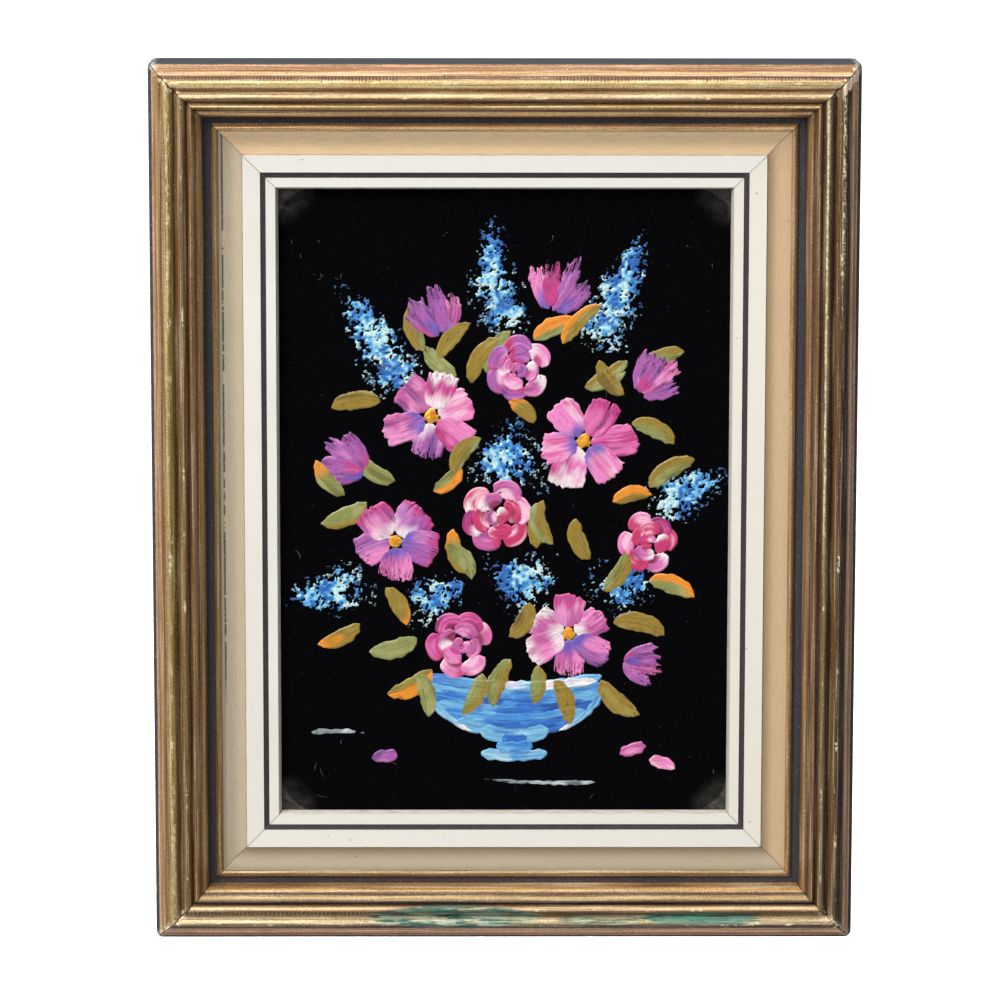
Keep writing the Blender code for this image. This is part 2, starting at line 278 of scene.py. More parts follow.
# Tones of the gilding on each side, each as (inset in mm, red, green, blue), with painted light and shade:
# painted highlights on the flanks of the top and bottom rails, and a darker right rail with shaded slopes
TOP_BANDS = (
    (1.2, 184, 136, 94), (1.8, 140, 94, 60), (2.6, 176, 130, 86), (3.25, 226, 190, 140),
    (3.75, 160, 116, 76), (4.1, 120, 82, 54), (4.7, 176, 142, 92), (5.2, 214, 182, 120),
    (6.3, 255, 228, 160), (7.4, 146, 102, 66), (8.5, 206, 180, 134), (9.5, 160, 126, 82),
    (10.6, 60, 38, 24), (11.9, 222, 182, 116), (13.0, 74, 46, 26), (13.8, 255, 208, 144),
    (15.0, 220, 168, 110), (17.5, 196, 148, 98), (18.4, 226, 188, 132),
)
LEFT_BANDS = (
    (1.5, 204, 164, 128), (2.1, 158, 110, 74), (2.7, 188, 144, 96), (3.3, 164, 126, 72),
    (3.75, 116, 84, 46), (4.3, 176, 138, 80), (4.9, 204, 164, 102), (5.6, 174, 148, 80),
    (6.6, 134, 118, 48), (7.3, 88, 64, 32), (8.5, 140, 108, 68), (9.7, 128, 102, 56), (10.9, 84, 54, 32),
    (12.1, 168, 128, 78), (13.2, 108, 76, 42), (14.1, 178, 132, 76), (15.0, 136, 98, 56),
    (17.5, 160, 122, 78), (18.7, 156, 130, 84),
)
RIGHT_BANDS = (
    (1.4, 206, 166, 134), (1.9, 156, 116, 88), (2.6, 214, 172, 136), (3.25, 168, 126, 98),
    (3.5, 56, 38, 28), (4.1, 40, 28, 24), (4.7, 54, 40, 26), (5.9, 84, 60, 28), (6.8, 128, 92, 48),
    (7.4, 96, 66, 42), (8.2, 56, 42, 34), (9.3, 150, 126, 80), (10.7, 72, 50, 38), (11.7, 152, 112, 74),
    (13.1, 82, 56, 38), (13.9, 164, 120, 78), (15.0, 136, 96, 60), (17.5, 150, 112, 72),
    (18.7, 184, 148, 104),
)
BOTTOM_BANDS = (
    (1.2, 236, 170, 130), (1.9, 182, 118, 84), (2.9, 255, 212, 168), (4.0, 255, 186, 140),
    (4.4, 84, 50, 32), (5.0, 84, 60, 40), (5.7, 136, 118, 82), (6.9, 216, 194, 150), (7.7, 196, 166, 124),
    (8.3, 84, 54, 36), (9.2, 150, 114, 78), (10.05, 212, 174, 124), (11.0, 66, 46, 32),
    (12.1, 60, 40, 28), (12.75, 255, 220, 156), (13.45, 70, 46, 28), (14.3, 214, 170, 110),
    (15.1, 180, 138, 88), (18.5, 150, 126, 84),
)
BAND_SPAN = 20.0
TOOTH_PITCH = 0.92  # mm between the small teeth along the reeds
DOT_PITCH = 1.15  # mm between the pale dots in the bottom rail
# Dark lines in the hollows, each as (inset, half width, strength) on the top, left, right and bottom rails
# They lie over each valley's slope that faces away from the light, widest on the right and bottom: painted
# shade
VALLEY_LINES = (
    ((1.75, 0.12, 0.5), (1.9, 0.12, 0.5), (1.8, 0.12, 0.5), (1.75, 0.12, 0.5)),
    ((2.35, 0.10, 0.4), (2.5, 0.10, 0.4), (2.3, 0.10, 0.4), (2.35, 0.10, 0.4)),
    ((3.95, 0.16, 0.7), (3.72, 0.13, 0.7), (4.10, 0.55, 1.0), (4.70, 0.24, 1.0)),
    ((7.40, 0.30, 0.4), (7.25, 0.30, 0.7), (8.40, 0.72, 1.0), (8.60, 0.62, 0.9)),
    ((10.60, 0.36, 1.0), (10.90, 0.28, 0.8), (11.10, 0.28, 0.8), (11.50, 0.80, 1.0)),
    ((13.00, 0.22, 1.0), (13.18, 0.12, 0.9), (13.40, 0.22, 0.9), (13.50, 0.50, 1.0)),
)
# Where toothed dirt starts, as (inset, reach, strength)
TOOTHED_LINES = ((3.6, 1.1, 1.0), (6.9, 0.55, 0.55), (10.35, 0.5, 0.6), (12.8, 0.35, 0.5), (17.2, 0.55, 0.6))


def banded(s, inset, bands):
    return s.ramp(inset / BAND_SPAN, [(place / BAND_SPAN, tone) for place, *tone in bands])


def tooth_dirt(s):
    """Dirt between the small teeth that a roller pressed along the valleys, strongest on the top rail."""
    jitter = s.noise((s.along, s.inset * 0.25, 2.0), 1.1, 2.0)
    tooth = s.math("PINGPONG", jitter * 0.5 + s.along, TOOTH_PITCH / 2) / (TOOTH_PITCH / 2)
    patchy = s.rise(s.noise((s.along, 2.0, 5.0), 0.06, 2.0), 0.36, 0.6, 0.35, 1.0)
    length = (jitter * 1.6 + 0.2) * patchy * (tooth * 1.1 + s.rise(s.along, 30.0, 85.0, 0.1, 0.4))
    tips = []
    for start, reach, strength in TOOTHED_LINES:
        inward = (s.inset - start) / reach
        tip = s.rise(inward - length, -0.12, 0.12, strength, 0.0)
        tips.append(tip * s.rise(inward, -0.15, 0.0))
    return most(*tips) * (1.0 - s.bottom * 0.65 - s.right * 0.35 - s.left * 0.6)


def valley_dirt_and_shade(s, grit):
    """Broken dark lines with crisp uneven edges: soiling in the valleys and painted shade on the slopes
    beside them.
    """
    wobble = s.noise((s.along * 0.35, s.inset, 4.0), 1.6, 3.0, 0.7)
    saw = s.math("PINGPONG", wobble * 0.6 + s.along, TOOTH_PITCH / 2)
    inset = (saw - TOOTH_PITCH / 4) * 0.5 + (wobble - 0.5) * 0.5 + s.inset
    lines = []
    for line in VALLEY_LINES:
        place, half, strength = (s.by_side(*values) for values in zip(*line))
        lines.append(s.fall(abs(inset - place) / half, 0.6, 1.25) * strength)
    return most(*lines) * s.rise(grit, 0.36, 0.58, 1.0, 0.6)


def bronze_tone(s, fine, grit):
    """Bronze paint, browner in the hollows, with fine lines scored along the rail and painted light and
    shade.
    """
    wobble = s.noise((s.along, s.inset, s.height), 2.4, 2.0)
    inset = (wobble - 0.5) * 0.45 + s.inset
    tone = banded(s, inset, TOP_BANDS)
    for side, bands in ((s.bottom, BOTTOM_BANDS), (s.left, LEFT_BANDS), (s.right, RIGHT_BANDS)):
        tone = s.mix(side, tone, banded(s, inset, bands))
    lines = s.noise((s.along * 0.012, s.inset, 3.0), 1.7, 2.0, 0.6)
    shade = s.rise(fine, 0.25, 0.75, 0.78, 1.22, "LINEAR")
    shade = shade * s.rise(lines, 0.3, 0.7, 0.78, 1.2, "LINEAR")
    tone = s.shade(tone, shade * s.rise(grit, 0.3, 0.7, 0.62, 1.34, "LINEAR"))
    thin = (grit - 0.5) * 0.35 + s.noise((s.along * 0.01, s.inset, 8.0), 3.6, 1.0)
    tone = s.mix(s.rise(thin, 0.3, 0.46, 0.7, 0.0), tone, (112, 66, 34))
    pale = s.mix(0.5, tone, (255, 238, 200), "SCREEN")
    tone = s.mix(s.rise(thin, 0.54, 0.70, 0.0, 0.7), tone, pale)
    green = s.rise(s.noise(s.position, 0.10, 2.0), 0.5, 0.72, 0.0, 0.3)
    return s.mix(green, tone, (132, 108, 56))


def rubbed_metal(s, streaks):
    """Arrises rubbed to bare metal and gesso, in lines, flakes and scuffs that differ from side to side."""
    crumbs = s.rise(streaks, 0.46, 0.56)
    nibbled = s.rise(s.noise(s.position, 1.3, 2.0), 0.44, 0.56)
    places = s.noise((s.along, s.inset * 2.0, 1.0), 0.16, 2.0)
    rubbed = most(s.band(5.2, 5.9, 0.2), s.band(9.2, 9.7, 0.2)) * s.rise(places, 0.56, 0.68) * nibbled
    line = s.band(9.45, 9.95, 0.12) * s.rise(s.along, -26.0, 2.0)
    line = line * s.rise(s.along * 0.0012 + streaks, 0.4, 0.5, 0.1, 1.0) * (nibbled * 0.6 + 0.4)
    flakes = s.band(4.6, 5.55, 0.12) * s.rise(s.along, 58.0, 74.0)
    flakes = flakes * s.rise(streaks, 0.42, 0.5) * (nibbled * 0.8 + 0.2)
    scuffs = most(s.rise(s.along, 74.0, 80.0), s.fall(s.along, -84.0, -78.0), s.rise(places, 0.5, 0.6))
    scuffs = scuffs * s.band(5.3, 6.4, 0.15) * most(crumbs * nibbled, crumbs * 0.5)
    # Pale dots that the roller left in the bottom rail, and crumbs along the top rail's broad reed
    beat = s.math("PINGPONG", streaks * 0.9 + s.along, DOT_PITCH / 2)
    dots = s.rise(beat, 0.28 * DOT_PITCH, 0.4 * DOT_PITCH) * s.band(8.1, 9.0, 0.15)
    dots = dots * s.rise(s.along, -44.0, -30.0, 1.0, 0.25)
    dots = dots * s.rise(s.noise(s.position, 0.9, 2.0), 0.38, 0.5)
    crumbled = s.band(6.1, 6.8, 0.2) * nibbled * s.rise(places, 0.44, 0.56, 0.0, 0.8)
    specks = s.rise(s.spots(s.position, 0.55), 0.07, 0.12, 0.6, 0.0)
    by_rail = (s.right * most(line, flakes), s.left * scuffs, s.bottom * dots, s.top * crumbled)
    return most(rubbed, specks, *by_rail)


def green_smear(s):
    """Green paint on the bottom rail, smooth, wiped and scraped, as (amount, tone), with painted shade on its
    outer edge.
    """
    ragged = s.noise(s.grain, 1.3, 3.0, 0.6)
    feathered = s.noise((s.along * 0.05, s.inset, 6.0), 1.6, 3.0, 0.65)
    thick = s.patch(54.6, 7.0, 17.0, 1.8, feathered, 1.0)
    scraped = s.patch(-14.0, 7.7, 25.5, 3.3, ragged, 0.5) * s.rise(ragged, 0.36, 0.5, 0.25, 1.0)
    wiped = s.patch(27.0, 6.6, 13.0, 1.3, ragged, 0.6) * s.rise(ragged, 0.4, 0.55, 0.2, 0.8)
    worn = s.rise(s.noise(s.grain, 2.6, 2.0, 0.6), 0.32, 0.5, 0.7, 1.0)
    streaked = s.rise(s.noise(s.grain, 0.9, 3.0, 0.6), 0.44, 0.58)
    pale = s.rise(s.inset, 8.2, 9.3, 1.0, 0.25) * streaked * s.rise(s.along, 38.0, 41.0, 1.0, 0.25)
    smooth = s.mix(s.rise(feathered, 0.36, 0.62), (20, 70, 60), (72, 142, 122))
    # Painted shade: the smooth smear darker towards its outer edge, on the flank that faces down
    smooth = s.mix(s.fall(s.inset, 5.6, 6.4) * 0.7, smooth, (20, 66, 58))
    teal = s.mix(s.rise(s.along, 34.0, 40.0), (34, 84, 74), smooth)
    return most(thick, scraped, wiped) * s.bottom * worn, s.mix(pale, teal, (154, 170, 150))


def mitre_damage(s):
    """Chips to the gesso round the mitres, and how dark the joints are, as (chips, joints)."""
    ragged = s.noise(s.position, 0.8, 3.0, 0.6)
    near = s.fall(s.mitre, 0.3, 2.6) * s.fall(s.inset, 7.5, 10.0)
    chips = near * s.rise((s.z < 0.0) * 0.06 + ragged, 0.55, 0.62)
    # A long split beside the top right mitre, and pale knocks on the outermost corners
    reach = ragged * 5.2 + 0.4
    split = s.rise(s.mitre, 0.25, 0.4) * s.fall(s.mitre - reach, 0.0, 0.25) * s.band(0.9, 5.8, 0.5)
    split = split * s.right * (s.along > 0.0)
    knocks = s.fall(s.inset * 0.8 + s.mitre, 1.4, 3.0) * s.rise(ragged, 0.44, 0.52)
    joints = s.fall(s.mitre, 0.08, 0.26) * s.rise(ragged, 0.3, 0.5, 0.5, 0.95)
    return most(chips, split, knocks), joints


def gilt_material():
    s = FrameShader("gilt_paint", Specular_IOR_Level=0.4, Coat_Roughness=0.3)
    fine = s.noise(s.position, 1.9, 3.0, 0.62)
    grit = s.noise((s.along * 0.8, s.inset, s.height), 3.6, 2.0, 0.7)
    streaks = s.noise(s.grain, 3.3, 2.0, 0.6)
    pits = s.rise(grit, 0.34, 0.4, 0.75, 0.0) * s.rise(streaks, 0.45, 0.6, 1.0, 0.3)
    dirt_and_shade = most(tooth_dirt(s), valley_dirt_and_shade(s, grit), pits)
    # Dark outer side and groove
    wobbling = (s.noise(s.position, 0.9, 2.0) - 0.5) * 0.3 + s.inset
    side_reach = wobbling + s.by_side(0.2, -0.25, -0.25, 0.0)
    side = s.fall(side_reach, EDGE_END - 0.2, EDGE_END + 0.05)
    level = s.top + s.bottom
    groove = s.rise(wobbling - level * 0.25, INNER_SLOPE_END - 0.2, INNER_SLOPE_END)
    groove = groove * s.fall(level * 0.15 + wobbling, GROOVE_END - 0.1, GROOVE_END + 0.15)
    side_tone = s.mix(s.rise(fine, 0.35, 0.7), (44, 44, 50), (66, 67, 74))
    groove_tone = s.mix(s.rise(grit, 0.34, 0.66), (22, 19, 20), (74, 70, 74))
    dust = s.rise(s.spots(s.position, 0.9), 0.10, 0.2, 0.55, 0.0)
    smear, green = green_smear(s)
    chips, joints = mitre_damage(s)
    tone = s.coats(
        bronze_tone(s, fine, grit),
        (rubbed_metal(s, streaks), (244, 230, 190)),
        # Soiling in the hollows with painted shade, darker on the right and bottom rails
        (dirt_and_shade * 0.9, s.mix(s.bottom * 0.6 + s.right, (74, 46, 28), (42, 29, 22))),
        (groove, s.mix(dust, groove_tone, (128, 130, 134))),
        (side, s.mix(dust * s.rise(streaks, 0.5, 0.6), side_tone, (150, 152, 156))),
        (smear, green),
        (chips, s.mix(s.rise(s.inset, 0.8, 1.6), (150, 152, 156), (222, 198, 172))),
        (joints, (34, 24, 18)),
    )
    # Bare wood behind
    raw = most(s.fall(s.height, 0.2, 0.5), (s.inset > LIP_INSET) * (s.height < LIP_HEIGHT))
    s.set("Base Color", s.mix(raw, tone, wood_tone(s)))
    covered = most(side, groove, raw, smear, chips, dirt_and_shade)
    paint = (1.0 - covered) * s.rise(s.inset - s.bottom, 2.6, 3.4, 0.35, 1.0)
    s.set("Metallic", paint * 0.45)
    s.set("Coat Weight", paint * s.rise(grit, 0.36, 0.6, 0.35, 0.85))
    s.set("Roughness", s.rise(fine, 0.3, 0.7, 0.52, 0.66) - paint * 0.2)
    s.bump(grit * 0.6 + fine, 0.06, 0.7)
    return s.material


def wood_tone(s):
    """Planed pale wood whose grain runs along each rail."""
    rings = s.noise((s.along * 0.03, s.inset, s.height), 0.8, 4.0, 0.6, 0.6)
    return s.mix(s.rise(rings, 0.35, 0.65), (150, 116, 76), (196, 164, 118))


def liner_material():
    s = FrameShader("liner_paint", Specular_IOR_Level=0.4)
    fine = s.noise(s.position, 2.2, 3.0, 0.6)
    broad = s.noise(s.position, 0.05, 2.0)
    streaks = s.noise(s.grain, 2.0, 3.0, 0.6)
    # Fawn cove, greyer on the left, darker and greyer below, and darker on the right as painted shade
    inward = s.rise(s.inset, FILLET_END, COVE_END, kind="LINEAR")
    cove = s.coats(
        s.mix(inward, (212, 184, 146), (206, 177, 139)),
        (s.left, (180, 166, 144)),
        (s.bottom, s.mix(inward, (150, 138, 117), (186, 171, 147))),
        (s.right, s.mix(inward, (184, 157, 124), (194, 167, 132))),
        (s.rise(streaks, 0.4, 0.75, 0.0, 0.3), (158, 138, 108)),
        (s.rise(broad, 0.5, 0.75, 0.0, 0.25), (168, 148, 116)),
    )
    # Ivory, lighter on the top rail and darker on the right and bottom rails as painted light and shade
    ivory = s.coats(
        s.mix(s.rise(broad, 0.35, 0.65), (226, 222, 213), (230, 226, 218)),
        (s.top, (235, 233, 226)),
        (s.right, (215, 210, 199)),
        (s.bottom, (209, 205, 196)),
        (s.rise(streaks, 0.55, 0.8, 0.0, 0.2), (208, 200, 182)),
    )
    edge = (fine - 0.5) * 0.12 + s.inset
    # Painted shade along the crease where the ivory rises from the cove
    crease_shade = s.band(COVE_END - 0.25, COVE_END - 0.05, 0.08) * s.rise(streaks, 0.35, 0.6, 0.25, 0.8)
    line = s.rise(edge, IVORY_END - 0.05, IVORY_END + 0.05)
    line = line * s.fall(edge, LINE_END - 0.05, LINE_END + 0.05)
    # Fly specks, and painted shade and reflection of the dark velvet on the inner bevel
    small = s.fall(s.spots(s.position, 0.5), 0.04, 0.07)
    small = small * s.rise(s.noise(s.position, 0.08, 1.0), 0.5, 0.6)
    specks = most(s.fall(s.spots(s.position, 0.15), 0.03, 0.05), small)
    bevel_shade = s.rise(s.inset, SIGHT_EDGE, SIGHT_EDGE + 0.7) * s.rise(streaks, 0.35, 0.65, 0.2, 0.7)
    # Grey strip and broken dark line beside the fillet on the left rail, the line being soiling and painted
    # shade in the step's corner
    broken = s.rise(s.noise((s.along, 3.0, 7.0), 0.17, 4.0, 0.75), 0.4, 0.46)
    shaky = (s.noise(s.grain, 1.5, 2.0) - 0.5) * 0.3 + s.inset
    blotchy = (fine - 0.5) * 0.7 + shaky
    dirt_and_shade = s.rise(blotchy, 19.82, 19.9) * s.fall(blotchy, 20.25, 20.4)
    dirt_and_shade = dirt_and_shade * s.left * broken * s.rise(s.along, -60.0, -45.0)
    tone = s.coats(
        cove,
        (s.rise(edge, COVE_END - 0.06, COVE_END + 0.02), ivory),
        (crease_shade, (104, 88, 66)),
        (line, s.mix(s.rise(fine, 0.35, 0.65), (40, 34, 36), (62, 56, 60))),
        (specks * 0.6, (98, 84, 66)),
        (bevel_shade, (150, 142, 124)),
        (s.fall(s.mitre, 0.05, 0.18) * 0.85, (92, 80, 64)),
        (s.fall(shaky, 19.95, 20.15) * s.left * 0.8, (138, 132, 114)),
        (dirt_and_shade * 0.9, (50, 58, 58)),
    )
    s.set("Base Color", s.mix(s.height < LINER_WOOD_HEIGHT, tone, wood_tone(s)))
    s.set("Roughness", s.rise(streaks, 0.3, 0.7, 0.44, 0.58))
    s.bump(fine + streaks * 0.6, 0.02, 0.4)
    return s.material


def velvet_material():
    s = FrameShader("black_velvet", Roughness=1.0, Specular_IOR_Level=0.03)
    s.set("Sheen Weight", 0.012)
    s.set("Sheen Roughness", 0.5)
    s.inputs["Sheen Tint"].default_value = (0.75, 0.78, 0.85, 1)
    nap = s.noise(s.position, 2.6, 3.0, 0.7)
    wisps = s.noise((s.x * 0.7, s.height, s.z), 0.35, 5.0, 0.7, 0.6)
    # Dust that gathers in the corners, outside a rounded clean field
    radius = 11.0
    a, b = (most(radius - (half / MM - abs(to)), 0.0) for half, to in zip(SIGHT_HALF, (s.x, s.z)))
    reach = s.math("SQRT", a * a + b * b)
    corner = s.rise(wisps * 1.2 + reach, radius + 0.4, radius + 1.6)
    dust = most(corner, s.rise(reach, 5.0, radius) * 0.3) * s.rise(wisps, 0.3, 0.7, 0.2, 1.0)
    dust = dust * s.rise(least(a, b), 0.0, 4.5)
    specks = s.fall(s.spots(s.position, 0.5), 0.03, 0.07)
    specks = specks * s.rise(s.noise(s.position, 0.3, 2.0), 0.54, 0.64)
    tone = s.coats(
        s.mix(s.rise(nap, 0.4, 0.75), (2, 2, 3), (11, 11, 14)),
        (dust * 0.85, (88, 86, 80)),
        (s.fall(s.spots(s.position, 1.4), 0.12, 0.22) * dust * 0.8, (128, 126, 120)),
        (specks * 0.6, (110, 110, 108)),
    )
    s.set("Base Color", tone)
    s.bump(nap, 0.12, 0.8)
    return s.material


def plain_material(name, colour, dark, scale, roughness, metallic=0.0, bump_mm=0.05, stretch=1.0):
    """Bare wood, metal or fibre. A stretch under 1 draws its grain out along x."""
    s = Shader(name, Metallic=metallic)
    position, (x, y, z) = s.place()
    fine = s.noise((x * stretch, y, z), scale, 4.0, 0.6)
    broad = s.noise(position, scale * 0.12, 2.0)
    tone = s.mix(s.rise(fine, 0.35, 0.7), colour, dark)
    s.set("Base Color", s.mix(s.rise(broad, 0.5, 0.75, 0.0, 0.5), tone, dark))
    s.set("Roughness", s.rise(fine, 0.3, 0.7, roughness - 0.08, roughness + 0.1))
    s.bump(fine, bump_mm, 0.6)
    return s.material


# Mouldings

STRAIGHT_ENOUGH = 0.002  # mm that a point of a section may stand off its neighbours' line


def section_of(node, x):
    """Outline of a bottom rail where the plane at x cuts it, as (inset, height) in mm, in order."""
    bm = bmesh.new()
    bm.from_mesh(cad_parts[node].data)
    bmesh.ops.remove_doubles(bm, verts=bm.verts, dist=1e-6)
    everything = bm.verts[:] + bm.edges[:] + bm.faces[:]
    cut = bmesh.ops.bisect_plane(bm, geom=everything, plane_co=(x, 0, 0), plane_no=(1, 0, 0))
    edges = [item for item in cut["geom_cut"] if isinstance(item, bmesh.types.BMEdge)]
    near = {}
    for edge in edges:
        for vert in edge.verts:
            near.setdefault(vert, []).append(edge.other_vert(vert))
    start = min(near, key=lambda vert: (round(vert.co.z, 6), -vert.co.y))
    walk, last = [start], None
    while True:
        ahead = [vert for vert in near[walk[-1]] if vert is not last]
        if not ahead or ahead[0] is start and last is not None:
            break
        last = walk[-1]
        walk.append(ahead[0])
    points = np.array([((vert.co.z - CAD_LOW.z) / MM, (BACK_Y - vert.co.y) / MM) for vert in walk])
    bm.free()
    area = np.sum(points[:, 0] * np.roll(points[:, 1], -1) - np.roll(points[:, 0], -1) * points[:, 1])
    return points if area < 0 else np.concatenate([points[:1], points[:0:-1]])


def corners_only(points):
    """The outline without the points that lie on the straight line between their neighbours."""
    before, after = points - np.roll(points, 1, 0), np.roll(points, -1, 0) - points
    across = np.abs(before[:, 0] * after[:, 1] - before[:, 1] * after[:, 0])
    reach = np.maximum(np.linalg.norm(before + after, axis=1), 1e-9)
    return points[across / reach > STRAIGHT_ENOUGH]


def resample(points, step, coarse_below):
    """The outline's corners, and points at most a step apart except on the back below a height."""
    made = []
    for index, point in enumerate(points):
        following = points[(index + 1) % len(points)]
        hidden = max(point[1], following[1]) < coarse_below
        pieces = 1 if hidden else max(1, math.ceil(np.linalg.norm(following - point) / step))
        made += [point + (following - point) * part / pieces for part in range(pieces)]
    return np.array(made)


def outward_normals(points):
    ahead = np.roll(points, -1, 0) - np.roll(points, 1, 0)
    ahead /= np.maximum(np.linalg.norm(ahead, axis=1, keepdims=True), 1e-9)
    return np.stack([-ahead[:, 1], ahead[:, 0]], 1)


def lattice(seed, size):
    return np.random.default_rng(seed).random((size, size))


NOISE = lattice(11, 64)


def value_noise(u, v, grid=NOISE):
    """Smooth noise from 0 to 1 read from a grid of random values, which repeats."""
    rows, columns = grid.shape
    iu, iv = np.floor(u).astype(int), np.floor(v).astype(int)
    fu, fv = u - iu, v - iv
    fu, fv = fu * fu * (3 - 2 * fu), fv * fv * (3 - 2 * fv)
    a = grid[iu % rows, iv % columns]
    b = grid[(iu + 1) % rows, iv % columns]
    c = grid[iu % rows, (iv + 1) % columns]
    d = grid[(iu + 1) % rows, (iv + 1) % columns]
    return (a * (1 - fu) + b * fu) * (1 - fv) + (c * (1 - fu) + d * fu) * fv




def smooth_step(value, low, high):
    share = np.clip((value - low) / (high - low), 0, 1)
    return share * share * (3 - 2 * share)


def gilt_relief(along, inset, height, half, seed):
    """How far the gilt surface stands out, in mm: toothed arrises, dents and chipped mitres."""
    front = smooth_step(height, 11.0, 13.0)
    wave = value_noise(along / 31 + seed, inset / 9 + 3) - 0.5
    relief = 0.05 * wave * front
    tooth = np.abs(((along / TOOTH_PITCH) % 1) - 0.5) * 2 - 0.5
    scrape = 0.6 * tooth + value_noise(along / 0.7 + seed * 5, inset / 0.9) - 0.5
    for valley, depth in ((SLOPE_END, 0.24), (BROAD_END, 0.12), (MIDDLE_END, 0.05)):
        near = np.exp(-(((inset - valley) / 0.4) ** 2))
        relief = relief + depth * scrape * near
    grain = value_noise(along / 1.1 + seed * 3, inset / 0.7) - 0.5
    relief = relief + 0.03 * grain * front
    dent = value_noise(along / 2.2 + seed * 7 + 9, inset / 1.7 + 5)
    relief = relief - 0.12 * smooth_step(dent, 0.84, 0.97) * front
    from_mitre = half - inset - np.abs(along)
    chip = value_noise(along / 0.8 + seed, inset / 0.8 + 21)
    reach = 0.3 + 1.3 * value_noise(inset / 1.3 + seed * 2, inset / 1.3 + 8)
    outer = smooth_step(10.0 - inset, 0.0, 2.5) * front
    return relief - 0.24 * smooth_step(chip, 0.35, 0.7) * smooth_step(reach - from_mitre, 0.0, 0.6) * outer


def liner_relief(along, inset, height, half, seed):
    front = smooth_step(height, 7.5, 9.0)
    wave = value_noise(along / 17 + seed + 2, inset / 7) - 0.5
    grain = value_noise(along / 2.6 + seed * 3, inset / 0.5) - 0.5
    return (0.03 * wave + 0.006 * grain) * front


SIDES = {"bottom": 0.0, "left": math.pi / 2, "top": math.pi, "right": -math.pi / 2}
MITRE_JOINT = 0.03  # half of the joint that shows between two rails, in mm
CORNER_RADIUS = 2.1
FRONT_ROUNDING = 1.3  # how much wider the corners are worn round at the front
SECTION_OFFSET = 0.03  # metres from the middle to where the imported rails' section is read
# Heights above the back in mm, under which the faces are hidden and stay coarse
GILT_HIDDEN, LINER_HIDDEN = 8.8, 6.4
# Extra rows near a rail's ends, in mm from them
END_ROWS = (0.12, 0.25, 0.4, 0.75, 0.9, 1.05, 1.4, 1.6, 1.95, 2.3, 2.7, 3.1)


def quads(rows, columns, closed=False):
    """Faces between rows of points with so many columns. The ends of closed rows meet."""
    pairs = [(column, (column + 1) % columns) for column in range(columns if closed else columns - 1)]
    starts = range(0, rows * columns, columns)
    return [(at + a, at + b, at + columns + b, at + columns + a) for at in starts for a, b in pairs]


def rail(name, side, section, relief, step_along, material, round_corners=False):
    """A worn moulding: its section swept along one side, with relief along the section's normal."""
    half = (HALF_WIDTH if side in ("top", "bottom") else HALF_HEIGHT) / MM
    normals = outward_normals(section)
    even = np.linspace(-1, 1, math.ceil(2 * half / step_along) + 1)
    extra = 1 - np.array(END_ROWS) / half
    share = np.unique(np.concatenate([even, extra, -extra]))[:, None]
    count = len(share) - 1
    inset, height = section[None, :, 0], section[None, :, 1]
    along = share * (half - inset - MITRE_JOINT)
    out = relief(along, inset + 0 * along, height + 0 * along, half, 3.7 * (1 + list(SIDES).index(side)))
    inset = inset + normals[None, :, 0] * out
    height = height + normals[None, :, 1] * out
    inset, height = np.maximum(inset, 0.0), np.minimum(height, section[:, 1].max())
    if round_corners:
        across = half - np.abs(along)
        radius = CORNER_RADIUS + FRONT_ROUNDING * smooth_step(height, 9.0, 13.0)
        gap_a, gap_b = radius - across, radius - inset
        reach = np.hypot(gap_a, gap_b)
        outside = (gap_a > 0) & (gap_b > 0) & (reach > radius)
        pull = np.where(outside, radius / np.maximum(reach, 1e-6), 1.0)
        along = np.where(outside, np.sign(along) * (half - radius + gap_a * pull), along)
        inset = np.where(outside, radius - gap_b * pull, inset)
    turn = SIDES[side]
    reach = (HALF_HEIGHT if side in ("top", "bottom") else HALF_WIDTH) / MM - inset
    x = along * math.cos(turn) - reach * math.sin(turn)
    z = -along * math.sin(turn) - reach * math.cos(turn)
    points = np.stack([CENTRE_X + x * MM, BACK_Y - height * MM, CENTRE_Z + z * MM], 2).reshape(-1, 3)
    columns = len(section)
    faces = quads(count, columns, closed=True)
    faces.append(tuple(reversed(range(columns))))
    faces.append(tuple(range(count * columns, (count + 1) * columns)))
    return new_mesh(name, points, faces, material)


def add(name, data):
    """An object of the scene that shows the data."""
    made = bpy.data.objects.new(name, data)
    bpy.context.scene.collection.objects.link(made)
    return made


def new_mesh(name, points, faces, material, sharp_angle=50):
    mesh = bpy.data.meshes.new(name)
    mesh.from_pydata(np.asarray(points).tolist(), [], faces)
    mesh.update()
    mesh.materials.append(material)
    mesh.shade_smooth()
    mesh.set_sharp_from_angle(angle=math.radians(sharp_angle))
    return add(name, mesh)


def finish_piece(piece, slot_name, *nodes):
    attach(piece, "root")
    if nodes:
        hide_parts(*nodes)


def mouldings():
    gilt, liner = gilt_material(), liner_material()
    cut_x = CENTRE_X + SECTION_OFFSET
    step = 0.3
    gilt_section = resample(corners_only(section_of("gilt_rail_bottom", cut_x)), 1.2 * step, GILT_HIDDEN)
    liner_outline = section_of("liner_rail_bottom", cut_x)
    beside_fillet = np.abs(liner_outline[:, 0] - LINER_START) < 0.1
    liner_outline[beside_fillet, 0] -= CLOSED_JOINT
    liner_section = resample(corners_only(liner_outline), step * 2, LINER_HIDDEN)
    for side in SIDES:
        node = f"gilt_rail_{side}"
        piece = rail(f"{node}_worn", side, gilt_section, gilt_relief, 2 * step, gilt, round_corners=True)
        finish_piece(piece, "gilt_wood", node)
        node = f"liner_rail_{side}"
        piece = rail(f"{node}_painted", side, liner_section, liner_relief, 5 * step, liner)
        finish_piece(piece, "painted_liner", node)


# Velvet


